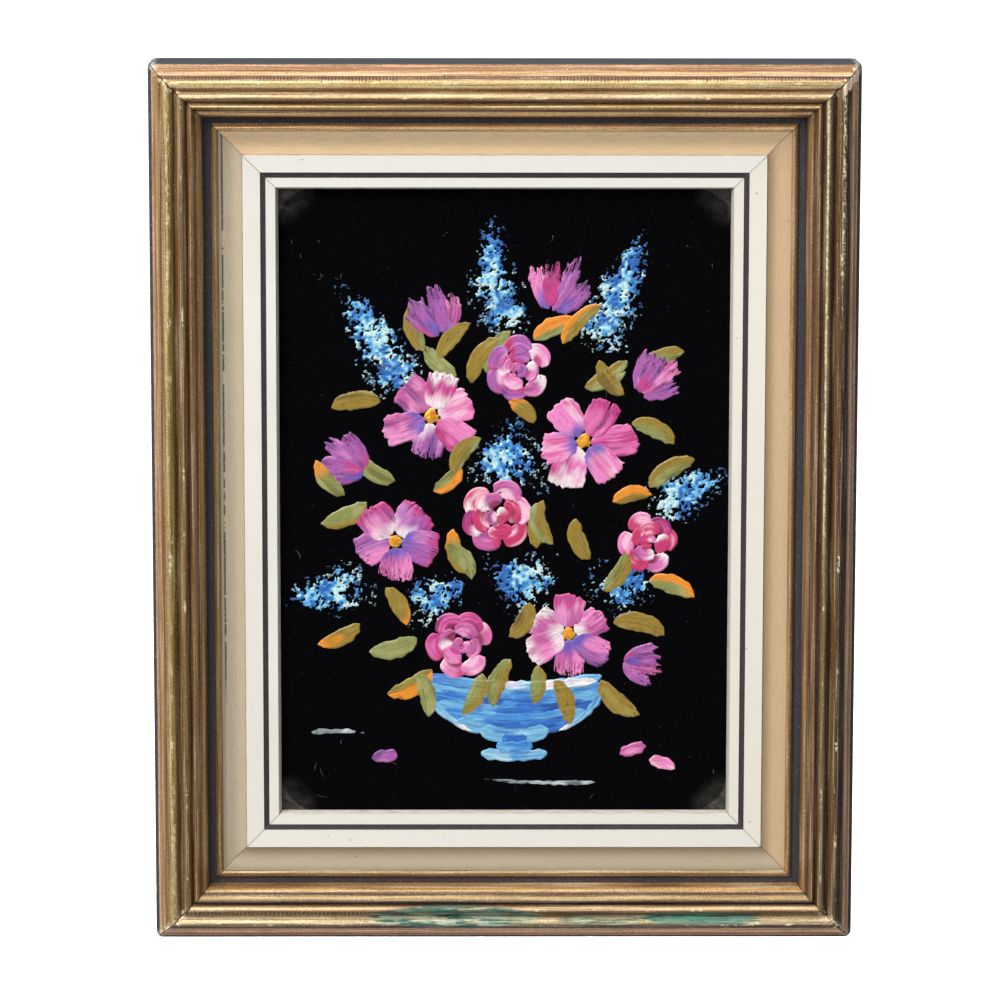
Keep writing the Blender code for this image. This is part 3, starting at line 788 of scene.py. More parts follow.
def velvet():
    """The stretched cloth with its soft waves, closed round its edges."""
    low, high = VELVET_LOW, VELVET_HIGH
    columns, rows = 88, 120
    x = np.linspace(low.x, high.x, columns + 1)[None, :] + np.zeros((rows + 1, 1))
    z = np.linspace(low.z, high.z, rows + 1)[:, None] + np.zeros((1, columns + 1))
    wave = value_noise(x / 0.021, z / 0.027) * value_noise(x / 0.009 + 7, z / 0.012 + 3)
    border = np.minimum(np.minimum(x - low.x, high.x - x), np.minimum(z - low.z, high.z - z))
    front = low.y + 0.00022 * wave * smooth_step(border, 0.0, 0.006)
    front = front + 0.0003 * smooth_step(0.0012 - border, 0, 0.0012)
    front_points = np.stack([x, front, z], 2).reshape(-1, 3)
    back_points = np.stack([x, np.full_like(x, high.y), z], 2).reshape(-1, 3)
    stride, total = columns + 1, (columns + 1) * (rows + 1)
    faces = quads(rows, stride)
    faces += [(total + a, total + d, total + c, total + b) for a, b, c, d in faces]
    rim = list(range(columns)) + [row * stride + columns for row in range(rows)]
    rim += [rows * stride + column for column in range(columns, 0, -1)]
    rim += [row * stride for row in range(rows, 0, -1)]
    for index, a in enumerate(rim):
        b = rim[(index + 1) % len(rim)]
        faces.append((a, total + a, total + b, b))
    cloth = new_mesh("velvet_cloth", np.concatenate([front_points, back_points]), faces, velvet_material())
    finish_piece(cloth, "velvet", "velvet")


def on_velvet(x, z, lift):
    """Coordinates in metres of a point given in mm from the velvet's middle."""
    return CENTRE_X + x * MM, VELVET_FACE_Y - lift * MM, CENTRE_Z + z * MM


def fibres():
    """Lint and short hairs that lie on the velvet."""
    random = np.random.default_rng(5)
    points, faces = [], []
    for _ in range(46):
        x, z = random.uniform(-58, 58), random.uniform(-84, 84)
        if random.random() < 0.5:
            x, z = math.copysign(random.uniform(44, 60), x), math.copysign(random.uniform(62, 85), z)
        length, heading, curl = random.uniform(0.5, 3.2), random.uniform(0, 6.28), random.uniform(-1.2, 1.2)
        thickness, steps = random.uniform(0.02, 0.045), 6
        spine = []
        for step in range(steps + 1):
            spine.append((x, z, 0.05 + 0.10 * math.sin(math.pi * step / steps)))
            x, z = x + math.cos(heading) * length / steps, z + math.sin(heading) * length / steps
            heading += curl * length / steps
        base = len(points)
        for px, pz, lift in spine:
            for turn in (0.0, 2.094, 4.188):
                out, up = thickness * math.cos(turn), thickness * math.sin(turn)
                points.append(on_velvet(px + out, pz, lift + up))
        faces += [tuple(base + corner for corner in quad) for quad in quads(steps, 3, closed=True)]
        faces += [(base + 2, base + 1, base), tuple(base + steps * 3 + corner for corner in range(3))]
    material = plain_material("lint", (150, 150, 148), (96, 96, 94), 3.0, 0.9)
    finish_piece(new_mesh("lint", points, faces, material), "velvet")


# Painted picture


def tinted(colour, tone, share):
    """The colour drawn towards a tone by a share at each point. Without a tone it stays."""
    if tone is None:
        return colour
    return colour + (np.array(linear(*tone)) - colour) * share[..., None]


def streaked(tones, share, across, lane, broad, patch, root=None, tip=None, flank=None):
    """Colour of a stroke with light and dark streaks, tinted near its root, its tip and one flank."""
    base, light, dark = tones
    colour = tinted(np.array(linear(*base)), light, 0.9 * smooth_step(0.55 * patch + 0.45 * lane, 0.48, 0.74))
    colour = tinted(colour, dark, 0.85 * smooth_step(0.6 * broad + 0.4 * lane, 0.52, 0.78))
    colour = tinted(colour, flank, 0.9 * smooth_step(across + 1.1 * (broad - 0.5), -0.15, 0.35))
    colour = tinted(colour, root, 0.88 * (1 - smooth_step(share + 0.35 * (broad - 0.5), 0.10, 0.46)))
    late = share + 0.4 * (broad - 0.5) + 0.2 * (patch - 0.5)
    return tinted(colour, tip, 0.9 * smooth_step(late, 0.55, 0.86))


class Paint:
    """A film of oil paint on the velvet, with a height and a colour at each point of a fine grid, in mm."""

    CELL = 0.24
    BARE = -0.35

    def __init__(self, half_width, half_height):
        self.x = np.arange(-half_width, half_width + self.CELL, self.CELL)
        self.z = np.arange(-half_height, half_height + self.CELL, self.CELL)
        shape = (len(self.z), len(self.x))
        self.height = np.full(shape, self.BARE)
        self.colour = np.zeros((*shape, 3))
        self.grain = np.zeros((*shape, 3))
        self.strokes = 0

    def window(self, low, high):
        """Rows and columns of the grid in a box, with each point's x and z."""
        columns = np.flatnonzero((self.x > low[0]) & (self.x < high[0]))
        rows = np.flatnonzero((self.z > low[1]) & (self.z < high[1]))
        px, pz = np.meshgrid(self.x[columns], self.z[rows])
        return np.ix_(rows, columns), px, pz

    def lay(self, area, body, colour, grain):
        """Puts a layer of paint over what is there. Where body is under 0 there is none."""
        under = self.height[area]
        lifted = np.where(body > 0, np.maximum(under, 0) * 0.55 + body, body)
        on_top = (lifted > under) | (body > 0.02)
        on_top &= ~((body <= 0) & (under > 0))
        lifted = np.where(body > 0, np.maximum(lifted, 0.7 * under), lifted)
        self.height[area] = np.where(on_top, lifted, under)
        self.colour[area] = np.where(on_top[..., None], colour, self.colour[area])
        self.grain[area] = np.where(on_top[..., None], grain, self.grain[area])

    def stroke(self, path, width, tones, form="band", thick=0.18, dry=0.3, ragged=0.12, **tints):
        """A stroke along a path in (base, light, dark) tones. The tints are root, tip and flank."""
        self.strokes += 1
        seed = self.strokes
        noise = partial(value_noise, grid=lattice(seed, 32))
        line = curve_through(path, 30)
        margin = width / 2 + 1.0
        area, px, pz = self.window(line.min(0) - margin, line.max(0) + margin)
        if not px.size:
            return
        share, side, length = locate(px, pz, line)
        along = share * length
        half = width / 2 * FORMS[form](np.clip(share, 0, 1))
        lane = noise(side / 0.5 + 9, along / 7 + 3)
        broad = noise(side / 1.9 + 5, along / 6 + 11)
        patch = noise(side / 2.6 + 17, along / 3.4 + 21)
        uneven = noise(side / 0.8 + 2, 0 * along + 13.5)
        uneven = uneven + 0.5 * noise(side / 2.5 + 8, 0 * along + 3.5)
        wobble = 0.5 * (noise(along / 1.5 + 7, np.sign(side) * 3 + 15) - 0.5)
        edge_side = half - np.abs(side) + wobble
        rounding = 0.10 * np.clip(np.abs(side) / np.maximum(half, 0.1), 0, 1) ** 2
        edge_end = (1 - 0.7 * ragged * uneven - rounding - share) * length
        edge_start = (share - 0.3 * ragged * uneven - rounding) * length
        cover = np.minimum(edge_side, np.minimum(edge_end, edge_start))
        body = thick * (1 - np.exp(-np.maximum(cover, 0) / 0.25)) * (1.05 - 0.6 * lane - 0.25 * broad)
        body += 0.35 * thick * np.exp(-(((edge_side - 0.35) / 0.25) ** 2)) * (0.3 + patch)
        body += 0.5 * thick * np.exp(-(((edge_end - 0.6) / 0.4) ** 2)) * patch
        thirst = dry * (0.35 + 0.9 * smooth_step(share, 0.35, 1.0))
        thirst = thirst + 0.35 * dry * (1 - smooth_step(edge_side, 0.0, 0.9))
        hairs = 0.7 * lane + 0.3 * noise(side / 0.4, along / 1.6)
        bare = (thirst > 0.25) & (hairs > 1.12 - 0.8 * thirst)
        outside = np.where(cover > 0, -0.03, np.maximum(cover, self.BARE))
        body = np.where((cover > 0) & ~bare, np.maximum(body, 0.03), outside)
        across = side / np.maximum(half, 0.1)
        colour = streaked(tones, share, across, lane, broad, patch, **tints)
        grain = np.stack([side + seed * 7.3, along * 0.15 + seed * 3.1, np.clip(thirst, 0, 1)], 2)
        self.lay(area, body, colour, grain)

    def sponge(self, centre, reach, turn, tones, density=0.55, thick=0.16):
        """A dabbed cluster of specks that thin out towards an oval's edge, in tones from dark to pale."""
        self.strokes += 1
        seed = self.strokes
        noise = partial(value_noise, grid=lattice(seed, 64))
        span = max(reach) * 1.25
        area, px, pz = self.window(np.array(centre) - span, np.array(centre) + span)
        dx, dz = px - centre[0], pz - centre[1]
        u = (dx * math.cos(turn) + dz * math.sin(turn)) / reach[0]
        v = (-dx * math.sin(turn) + dz * math.cos(turn)) / (reach[1] * np.clip(1 - 0.45 * u, 0.3, 1.5))
        lumps = noise(px / 2.4 + 40, pz / 2.4 + 40)
        outward = np.hypot(u, v) + 0.7 * (lumps - 0.5)
        specks = 0.45 * noise(px / 0.85 + 90, pz / 0.85 + 90)
        specks += 0.35 * noise(px / 0.45 + 9, pz / 0.45 + 9)
        specks += 0.20 * noise((px + pz) / 1.6 + 3, (px - pz) / 0.6)
        edge = specks - 0.30 - (1 - density) * 0.30 - 0.30 * smooth_step(outward, 0.35, 1.15)
        body = np.where(outward < 1.3, np.where(edge > 0, thick * (0.3 + 3.0 * edge), edge * 2.5), self.BARE)
        hue = 0.5 * noise(px / 3.3 + 21, pz / 3.3 + 3)
        hue = hue + 0.5 * noise(px / 0.9 + 31, pz / 0.9 + 13)
        hue = smooth_step(hue - 0.14 * u, 0.30, 0.74) * (len(tones) - 1)
        channels = zip(*(linear(*tone) for tone in tones))
        colour = np.stack([np.interp(hue, range(len(tones)), channel) for channel in channels], 2)
        thirst = 0.15 + 0.7 * np.clip(outward, 0, 1) ** 2
        grain = np.stack([px * 0.8 + seed * 7.3, pz * 0.8 + seed * 3.1, thirst], 2)
        self.lay(area, body, colour, grain)

    def pieces(self, name, material, count):
        """The film as meshes of level strips, with its colour and the lie of its strokes as attributes."""
        bounds = np.linspace(0, len(self.z) - 1, count + 1).astype(int)
        for number, (low, high) in enumerate(zip(bounds[:-1], bounds[1:]), 1):
            self.strip(f"{name}_{number}", material, low, high + 1)

    def strip(self, name, material, low, high):
        film, stride = self.height[low:high], len(self.x)
        pairs = np.maximum(film[:-1], film[1:])
        corners = np.maximum(pairs[:, :-1], pairs[:, 1:])
        rows, columns = np.nonzero(corners > 0)
        a = rows * stride + columns
        quads = np.stack([a, a + 1, a + stride + 1, a + stride], 1)
        used, index = np.unique(quads, return_inverse=True)
        quads = index.reshape(quads.shape)
        x, z = self.x[used % stride], self.z[low + used // stride]
        points = np.stack(on_velvet(x, z, np.maximum(film.reshape(-1)[used], self.BARE)), 1)
        made = new_mesh(name, points, quads.tolist(), material, sharp_angle=180)
        colours = made.data.attributes.new("paint", "FLOAT_COLOR", "POINT")
        painted = self.colour[low:high].reshape(-1, 3)[used]
        colours.data.foreach_set("color", np.c_[painted, np.ones(len(used))].ravel())
        grain = made.data.attributes.new("grain", "FLOAT_VECTOR", "POINT")
        grain.data.foreach_set("vector", self.grain[low:high].reshape(-1, 3)[used].ravel())
        finish_piece(made, "oil_paint")


FORMS = {
    "band": lambda t: np.ones_like(t),
    "petal": lambda t: 0.46 + 0.54 * np.sin(np.clip(t / 0.62, 0, 1) * math.pi / 2),
    "round": lambda t: np.sqrt(np.clip(1 - (1.9 * t - 0.95) ** 2, 0.0, 1)) * (0.86 + 0.2 * t),
    "leaf": lambda t: np.sin(np.clip(t * 0.90 + 0.08, 0, 1) * math.pi) ** 0.7,
    "flick": lambda t: (1 - t) ** 0.6,
}


def curve_through(path, count):
    """Points along a smooth curve that starts and ends at path's ends and bends by its middle points."""
    points = np.array(path, float)
    t = np.linspace(0, 1, count)[:, None]
    if len(points) == 2:
        return points[0] + (points[1] - points[0]) * t
    if len(points) == 3:
        return points[0] * (1 - t) ** 2 + 2 * points[1] * t * (1 - t) + points[2] * t**2
    first, second, third, fourth = points[:4]
    return first * (1 - t) ** 3 + 3 * second * t * (1 - t) ** 2 + 3 * third * t**2 * (1 - t) + fourth * t**3


def locate(px, pz, line):
    """Share along the line, signed distance to its side, and the line's length."""
    steps = np.linalg.norm(np.diff(line, axis=0), axis=1)
    length = max(steps.sum(), 1e-6)
    travelled = np.concatenate([[0], np.cumsum(steps)])
    tangent = np.gradient(line, axis=0)
    tangent /= np.maximum(np.linalg.norm(tangent, axis=1, keepdims=True), 1e-9)
    gap_x = px[..., None] - line[:, 0]
    gap_z = pz[..., None] - line[:, 1]
    nearest = np.argmin(gap_x**2 + gap_z**2, axis=-1)
    dx, dz = px - line[nearest, 0], pz - line[nearest, 1]
    tx, tz = tangent[nearest, 0], tangent[nearest, 1]
    share = (travelled[nearest] + dx * tx + dz * tz) / length
    return share, tx * dz - tz * dx, length


def turned(centre, angle, distance):
    return (centre[0] + distance * math.cos(angle), centre[1] + distance * math.sin(angle))


WHITE = (240, 226, 228)
PINKS = ((194, 94, 156), (224, 142, 190), (126, 56, 122))
ORCHIDS = ((164, 88, 162), (194, 122, 186), (100, 56, 128))
MAGENTAS = ((190, 58, 130), (220, 112, 172), (120, 34, 92))
ROSES = ((230, 132, 190), (240, 190, 210), (206, 84, 146))
CRIMSONS = ((196, 50, 104), (242, 176, 192), (132, 22, 66))
PLUMS = ((148, 74, 148), (186, 104, 178), (92, 44, 104))
INDIGO = (84, 82, 178)
MOSSES = ((136, 140, 78), (160, 162, 104), (104, 98, 42))
OLIVES = ((146, 120, 40), (158, 142, 70), (104, 80, 26))
ORANGE = (232, 140, 34)
YELLOWS = ((214, 168, 26), (236, 200, 60), (160, 122, 18))
ORANGES = ((236, 150, 24), (248, 184, 52), (196, 112, 14))
BLUES = ((66, 138, 210), (112, 182, 226), (40, 92, 178))
PALE_BLUES = ((112, 178, 218), (178, 216, 230), (62, 128, 196))
DEEP_BLUES = ((44, 108, 192), (74, 146, 214), (30, 70, 150))
CLUSTER = ((36, 98, 176), (70, 150, 214), (120, 192, 226), (196, 226, 228))
GREYS = ((132, 140, 146), (196, 202, 206), (84, 90, 96))


def anemone(paint, centre, radius, petals, turn, palette, random):
    """An open blossom of broad dry strokes round a dabbed yellow heart."""
    order = list(range(petals))
    order = order[::2] + order[1::2]
    for number in order:
        angle = turn + number * 2 * math.pi / petals + random.uniform(-0.10, 0.10)
        reach = radius * random.uniform(0.88, 1.10)
        bend = random.uniform(-0.22, 0.22)
        path = [
            turned(centre, angle, radius * 0.12), turned(centre, angle + bend, reach * 0.6),
            turned(centre, angle, reach),
        ]
        tones = random.choice(palette)
        paint.stroke(
            path, 2 * math.pi * radius / petals * random.uniform(0.56, 0.70), tones, "petal",
            thick=random.uniform(0.14, 0.26),
            dry=0.1 if tones is ROSES else random.choice([0.25, 0.4, 0.55]),
            ragged=random.uniform(0.10, 0.2), root=random.choice([INDIGO, INDIGO, INDIGO, None, WHITE]),
            tip=random.choice([None, None, None, WHITE, MAGENTAS[0]]),
            flank=random.choice([None, None, None, tones[1], ROSES[0]]),
        )
    heart = ((YELLOWS, 0.24), (ORANGES, 0.2), (YELLOWS, 0.16), (ORANGES, 0.14))
    for number, (tones, size) in enumerate(heart):
        start = turned(centre, turn + number * 1.7, radius * 0.10)
        end = turned(centre, turn + number * 1.7 + 2.2, radius * 0.15)
        paint.stroke([start, centre, end], radius * size, tones, "round", thick=0.34, dry=0.0, ragged=0.1)


def tulip(paint, foot, angle, size, palette, random):
    """A cup of upright strokes that opens away from its foot."""
    for lean, reach in ((-0.52, 0.84), (0.50, 0.88), (-0.17, 1.0), (0.20, 0.94)):
        lean += random.uniform(-0.07, 0.07)
        tip = turned(foot, angle + lean, size * reach)
        belly = turned(foot, angle + lean * 1.8, size * reach * 0.45)
        paint.stroke(
            [foot, belly, tip], size * random.uniform(0.25, 0.31), random.choice(palette), "petal",
            thick=0.15, dry=random.choice([0.45, 0.6, 0.7]), ragged=0.3,
            root=random.choice([None, MAGENTAS[0], INDIGO]),
        )


def rose(paint, centre, radius, turn, palette, random):
    """A full blossom of thick curved strokes that overlap and wind round its heart."""
    for reach, count, wide in ((0.66, 6, 0.60), (0.40, 4, 0.50), (0.14, 2, 0.36)):
        for number in range(count):
            angle = turn + number * 2 * math.pi / count + reach * 4 + random.uniform(-0.25, 0.25)
            span = 6.6 / count
            r = radius * reach * random.uniform(0.94, 1.10)
            path = [
                turned(centre, angle, r * 0.92), turned(centre, angle + span * 0.35, r * 1.2),
                turned(centre, angle + span * 0.7, r * 1.2), turned(centre, angle + span, r * 0.8),
            ]
            paint.stroke(
                path, radius * wide * random.uniform(0.85, 1.1), random.choice(palette), "round",
                thick=random.uniform(0.2, 0.34), dry=random.choice([0.0, 0.15, 0.3]), ragged=0.1,
                tip=random.choice([None, WHITE, None, CRIMSONS[0]]),
                flank=random.choice([None, ROSES[1], MAGENTAS[0], CRIMSONS[2]]),
            )


def leaf(paint, base, tip, bend, width, random):
    """A short curved blade, one side green and the other often orange."""
    across, up = tip[0] - base[0], tip[1] - base[1]
    middle = ((base[0] + tip[0]) / 2 - bend * up, (base[1] + tip[1]) / 2 + bend * across)
    paint.stroke(
        [base, middle, tip], width * 1.12, random.choice([MOSSES, OLIVES, MOSSES]), "leaf", thick=0.15,
        dry=random.choice([0.05, 0.2, 0.35]), ragged=0.06,
        flank=random.choice([OLIVES[0], OLIVES[0], OLIVES[0], ORANGE, None]),
        tip=random.choice([None, None, None, ORANGE]),
    )


def bowl(paint, middle, rim_z, half_rim, depth):
    """A wide footed bowl of sweeping strokes, pale at the rim and deep blue in the middle."""
    rows = 7
    for row in range(rows):
        share = row / (rows - 1)
        z = rim_z - depth * (0.06 + 0.9 * share)
        half = half_rim * math.sqrt(max(1 - (share * 0.93) ** 2.2, 0.02))
        sag = 3.6 * (1 - share * 0.5)
        path = [
            (middle - half, z + sag * 0.6), (middle - half * 0.4, z - sag),
            (middle + half * 0.4, z - sag), (middle + half, z + sag * 0.6),
        ]
        if row % 2:
            path.reverse()
        tones = (BLUES, BLUES, DEEP_BLUES, DEEP_BLUES, BLUES, DEEP_BLUES, PALE_BLUES)[row]
        paint.stroke(path, depth / rows * 2.0, tones, thick=0.28, dry=0.08, ragged=0.03, tip=PALE_BLUES[0])
    for lean, width in ((-1, 2.8), (1, 2.4)):
        path = [
            (middle + lean * half_rim * 0.97, rim_z - 1.0),
            (middle + lean * half_rim * 0.95, rim_z - depth * 0.62),
            (middle + lean * half_rim * 0.42, rim_z - depth * 0.98),
        ]
        paint.stroke(path, width, PALE_BLUES, "flick", thick=0.3, dry=0.1, tip=WHITE)
    foot_z = rim_z - depth - 2.0
    for drop, half, tones in ((0.8, 3.6, DEEP_BLUES), (-1.4, 5.2, BLUES), (-3.8, 9.6, PALE_BLUES)):
        z = foot_z + drop
        path = [(middle - half, z + 0.5), (middle, z - 0.9), (middle + half, z + 0.5)]
        paint.stroke(path, 3.0, tones, thick=0.26, dry=0.1, ragged=0.06)
    rim = [
        (middle - half_rim, rim_z + 0.8), (middle - half_rim * 0.3, rim_z - 2.6),
        (middle + half_rim * 0.5, rim_z - 2.6), (middle + half_rim, rim_z + 0.8),
    ]
    paint.stroke(rim, 2.8, PALE_BLUES, thick=0.3, dry=0.12, tip=WHITE, root=DEEP_BLUES[0])


# Clusters of small blue flowers, each as (centre, reach, turn), in mm from the picture's middle
CLUSTERS = (
    ((-37, 47), (13, 5.4), 2.15), ((-30, 36), (6, 6.0), 2.0), ((32, 60), (13, 5.4), 1.2),
    ((28, 49), (6, 5.6), 1.2), ((-3, 65), (13, 5.0), 1.65), ((0, 54), (6, 5.6), 1.6),
    ((51, 3), (11, 5.6), 0.35), ((-49, -25), (11, 5.4), 3.4), ((1, 13), (9, 8.0), 1.5),
    ((33, -24), (9, 6.0), 0.2), ((4, -22), (9, 6.5), 2.6), ((-18, -26), (8, 5.4), 0.6),
)
# Leaves behind and in front of the blossoms, each as (base, tip, bend, width)
BACK_LEAVES = (
    ((-13, 35), (-22, 44), 0.2, 4.4), ((8, 45), (21, 50), 0.25, 4.6), ((35, 22), (47, 16), 0.25, 4.4),
    ((-38, 0), (-51, -6), 0.2, 4.6), ((-5, 36), (2, 48), 0.18, 4.0), ((22, 32), (34, 40), -0.2, 4.6),
    ((-34, 28), (-48, 26), -0.2, 4.4), ((37, 36), (50, 42), 0.2, 4.2), ((-22, 42), (-25, 56), 0.25, 4.2),
    ((-10, -20), (-14, -7), 0.25, 4.2), ((40, -22), (53, -27), 0.2, 4.6), ((9, -13), (11, 1), 0.15, 4.0),
    ((16, 44), (27, 55), 0.2, 4.0), ((-30, 6), (-42, 14), 0.2, 4.2), ((-12, 10), (-20, 3), 0.2, 4.2),
)
FRONT_LEAVES = (
    ((-20, -47), (-33, -54), 0.25, 4.8), ((2, -44), (-3, -58), -0.2, 4.6),
    ((27, -50), (38, -60), -0.25, 4.8), ((-24, -38), (-38, -42), 0.2, 4.8),
    ((7, -28), (1, -38), 0.3, 4.4), ((-14, 8), (-6, 18), 0.3, 4.4), ((9, 0), (14, -12), -0.3, 4.2),
    ((30, -34), (45, -38), 0.3, 4.8), ((-9, 33), (-1, 46), 0.3, 4.0), ((-24, -48), (-21, -61), 0.2, 4.2),
    ((14, -50), (18, -63), 0.2, 4.4), ((8, 22), (1, 28), -0.3, 4.0), ((40, 4), (53, 12), 0.2, 4.4),
    ((-40, -34), (-52, -40), 0.2, 4.2), ((-16, -12), (-9, -22), 0.3, 4.0),
    ((24, -16), (20, -4), 0.3, 4.2), ((30, 0), (41, 2), 0.25, 4.0), ((-33, -24), (-27, -35), 0.2, 4.2),
    ((-6, -48), (-12, -60), 0.2, 4.2), ((33, 30), (26, 40), 0.25, 4.0), ((-18, 40), (-9, 50), 0.2, 4.0),
    ((-44, 2), (-52, 12), 0.2, 4.0), ((34, -14), (27, -25), 0.25, 4.2), ((9, -46), (8, -57), 0.2, 4.0),
)
PINK_MIX = [PINKS, MAGENTAS, ORCHIDS, ROSES, PINKS]
VIOLETS = [ORCHIDS, PLUMS, ORCHIDS, PINKS]
REDS = [MAGENTAS, CRIMSONS, ROSES, PINKS]
BLOSSOMS = (
    (tulip, (-17, 46), 1.95, 17, VIOLETS), (tulip, (13, 53), 1.3, 18, PINK_MIX),
    (tulip, (37, 30), 0.8, 16, VIOLETS), (tulip, (-38, 9), 2.75, 16, VIOLETS),
    (tulip, (33, -45), -0.1, 13, VIOLETS), (rose, (4, 37), 9.0, 0.4, PINK_MIX),
    (anemone, (-20, 24), 14.0, 6, 0.3, PINK_MIX), (anemone, (22, 17), 14.0, 6, 0.1, PINK_MIX),
    (anemone, (-30, -11), 12.5, 5, 0.9, [*VIOLETS, ROSES]), (rose, (40, -11), 8.5, 2.0, REDS),
    (rose, (-2, -4), 10.5, 1.1, REDS), (anemone, (18, -37), 12.5, 6, 0.5, PINK_MIX),
    (rose, (-12, -40), 9.5, 0.2, [PINKS, ROSES, MAGENTAS]),
)


def picture():
    """A fan of made-up garden flowers in a footed bowl."""
    paint = Paint(SIGHT_HALF[0] / MM + 0.5, SIGHT_HALF[1] / MM + 0.5)
    random = Random(27)
    for centre, reach, turn in CLUSTERS:
        paint.sponge(centre, reach, turn, CLUSTER, density=random.uniform(0.66, 0.86))
    for blade in BACK_LEAVES:
        leaf(paint, *blade, random)
    bowl(paint, 3.0, -50.0, 25.0, 15.5)
    for blossom, place, *shape in BLOSSOMS:
        blossom(paint, place, *shape, random)
    for blade in FRONT_LEAVES:
        leaf(paint, *blade, random)
    # Fallen petals and the light on the table
    for place, angle, tones in (((36, -70), 0.3, PINKS), ((44, -74), 2.8, ROSES), ((-33, -72), 0.1, ORCHIDS)):
        path = [turned(place, angle + math.pi, 4), (place[0], place[1] + 0.8), turned(place, angle, 4)]
        paint.stroke(path, 3.6, tones, "round", thick=0.22, dry=0.2)
    paint.stroke([(-54, -65), (-46, -64), (-36, -65)], 1.6, GREYS, "flick", thick=0.06, dry=0.5)
    paint.stroke([(26, -79), (12, -80), (-8, -78)], 1.6, GREYS, "flick", thick=0.06, dry=0.5)
    paint.pieces("oil_paint", paint_material(), 3)


def paint_material():
    s = Shader("oil_paint", Specular_IOR_Level=0.45, Coat_Weight=0.1, Coat_Roughness=0.3)
    colour = s.value("ShaderNodeAttribute", output="Color", attribute_name="paint")
    across, along, thirst = s.axes(s.value("ShaderNodeAttribute", output="Vector", attribute_name="grain"))
    streak = s.noise((across, along, 0.0), 2.6, 3.0, 0.65)
    fine = s.noise(s.place()[0], 2.6, 3.0, 0.6)
    tone = s.shade(colour, s.rise(streak, 0.3, 0.7, 1.16, 0.74, "LINEAR"))
    # Velvet between the streaks where the brush ran dry
    bare = s.rise(thirst * 0.22 + fine * 0.35 + streak * 0.65, 0.64, 0.69)
    s.set("Base Color", s.mix(bare, tone, (20, 14, 22)))
    s.set("Roughness", most(s.rise(fine, 0.3, 0.7, 0.34, 0.52), bare))
    s.bump(fine * 0.5 - streak + 1.0, 0.07, 0.8)
    return s.material


# Hidden side


def hardware():
    """Finishes of the board, the brads and the hanger, which keep their own shapes."""
    board = plain_material("grey_board", (142, 122, 94), (112, 94, 70), 1.6, 0.88, 0.0, 0.06, 0.3)
    steel = plain_material("dull_steel", (160, 158, 152), (92, 84, 76), 3.0, 0.42, 1.0, 0.02)
    brass = plain_material("brassed_steel", (206, 172, 104), (140, 108, 56), 1.4, 0.34, 1.0, 0.02, 0.2)
    finishes = {"brad": steel, "hanger_nail": steel, "sawtooth_hanger": brass, "backing_board": board}
    for name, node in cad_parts.items():
        for start, finish in finishes.items():
            if name.startswith(start):
                node.data.materials.clear()
                node.data.materials.append(finish)


# Stage, light and camera

FLOOR_DROP = 0.12  # metres from the frame down to the floor
STAGE_SIZE = 30.0
PHOTO_FOCAL = 4962.0  # px, for a frame 1000 px wide
PHOTO_WIDTH = 1000.0
CAMERA_DISTANCE = 1.376
CAMERA_ELEVATION = math.radians(9.48)
CAMERA_YAW = math.radians(-0.43)
CAMERA_ROLL = math.radians(0.074)
AIM = (-0.00113, -0.00036)


def camera():
    data = bpy.data.cameras.new("camera")
    data.sensor_width = 36.0
    data.lens = data.sensor_width * PHOTO_FOCAL / PHOTO_WIDTH
    data.clip_end = 100.0
    made = add("camera", data)
    across = math.cos(CAMERA_ELEVATION)
    back = Vector((math.sin(CAMERA_YAW) * across, -math.cos(CAMERA_YAW) * across, math.sin(CAMERA_ELEVATION)))
    made.location = Vector((CENTRE_X + AIM[0], BACK_Y, CENTRE_Z + AIM[1])) + back * CAMERA_DISTANCE
    roll = Matrix.Rotation(CAMERA_ROLL, 3, "Z")
    made.rotation_euler = (back.to_track_quat("Z", "Y").to_matrix() @ roll).to_euler()
    bpy.context.scene.camera = made


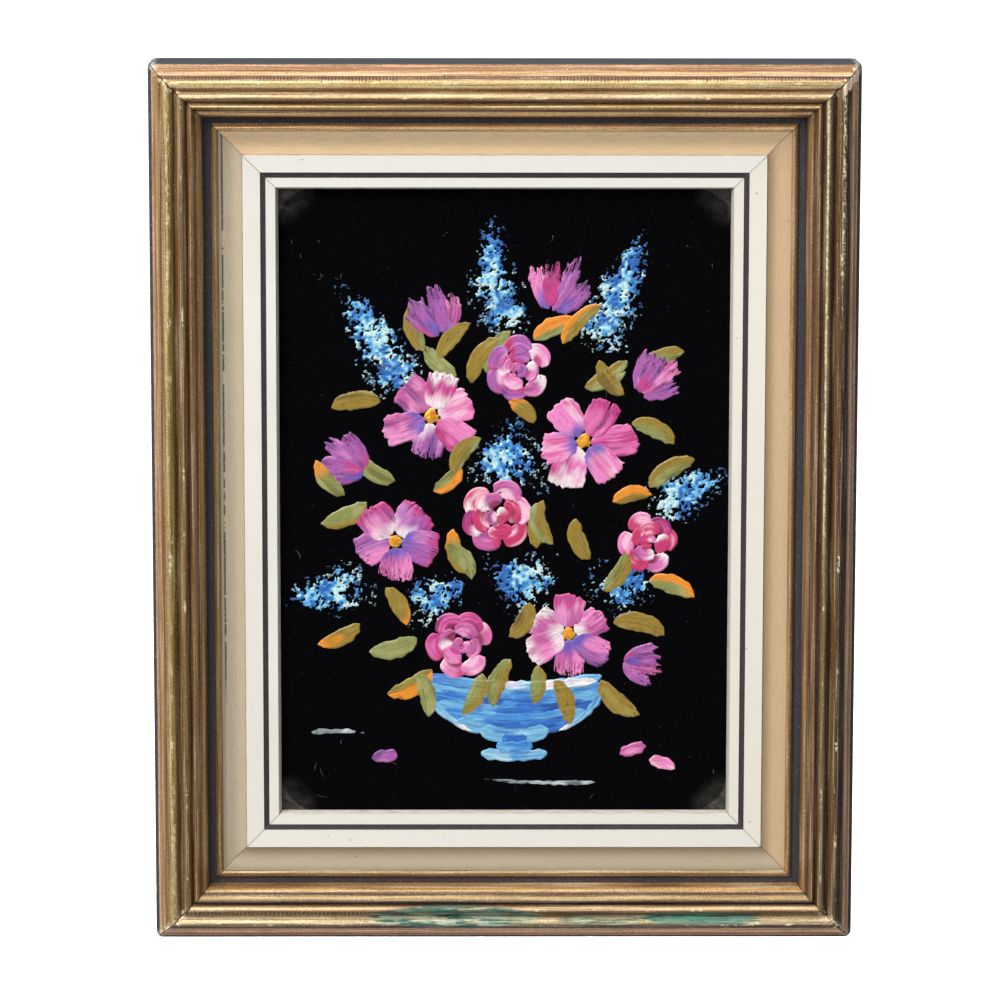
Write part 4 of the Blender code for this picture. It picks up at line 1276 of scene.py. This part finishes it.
def area_light(name, place, size, power, colour):
    """A soft box that faces the picture's middle, placed from it in metres."""
    data = bpy.data.lights.new(name, "AREA")
    data.shape = "RECTANGLE"
    data.size, data.size_y = size
    data.energy = power
    data.color = colour
    made = add(name, data)
    made.location = Vector((CENTRE_X, BACK_Y, CENTRE_Z)) + Vector(place)
    made.rotation_euler = Vector(place).to_track_quat("Z", "Y").to_euler()


def stage():
    """A pale floor and a pale surround that only the camera sees, so that they don't light the picture."""
    half = STAGE_SIZE / 2
    for name, height, create, sizes in (
        ("floor", CAD_LOW.z - FLOOR_DROP, bmesh.ops.create_grid, {"size": half}),
        ("surround", None, bmesh.ops.create_uvsphere, {"radius": half, "u_segments": 48, "v_segments": 24}),
    ):
        bm = bmesh.new()
        create(bm, **sizes)
        mesh = bpy.data.meshes.new(name)
        bm.to_mesh(mesh)
        bm.free()
        s = Shader(f"pale_{name}", Roughness=1.0, Emission_Color=(255, 255, 255), Emission_Strength=1.0)
        s.inputs["Base Color"].default_value = (0.9, 0.9, 0.9, 1)
        mesh.materials.append(s.material)
        piece = add(name, mesh)
        if height is not None:
            piece.location = (CENTRE_X, 0, height)
        piece.visible_diffuse = False
        piece.visible_glossy = False
        piece.visible_shadow = False


def studio_world():
    """A soft surround that is bright above, dimmer on the left and below, and dark on the right."""
    world = bpy.data.worlds.new("studio")
    world.use_nodes = True
    nodes = Nodes(world.node_tree)
    x, _, z = nodes.axes(nodes.value("ShaderNodeTexCoord", output="Generated"))
    glow = most(z, 0.0) * 0.5 + most(x * -1.0, 0.0) * 0.25 + most(z * -1.0, 0.0) * 0.45
    background = world.node_tree.nodes["Background"]
    background.inputs[0].default_value = (0.94, 0.97, 1.0, 1)
    nodes.connect(glow + 0.10, background.inputs[1])
    bpy.context.scene.world = world


def lights():
    studio_world()
    area_light("key_box", (-0.9, -1.25, 1.25), (1.2, 1.2), 46, (1.0, 0.985, 0.96))
    area_light("top_box", (0.1, -0.22, 1.2), (1.2, 0.5), 7, (1.0, 0.985, 0.96))
    area_light("front_box", (0.3, -1.9, 0.5), (0.8, 0.8), 5, (1.0, 0.99, 0.97))
    bpy.context.scene.view_settings.view_transform = "Standard"


mouldings()
velvet()
fibres()
picture()
hardware()
stage()
lights()
camera()
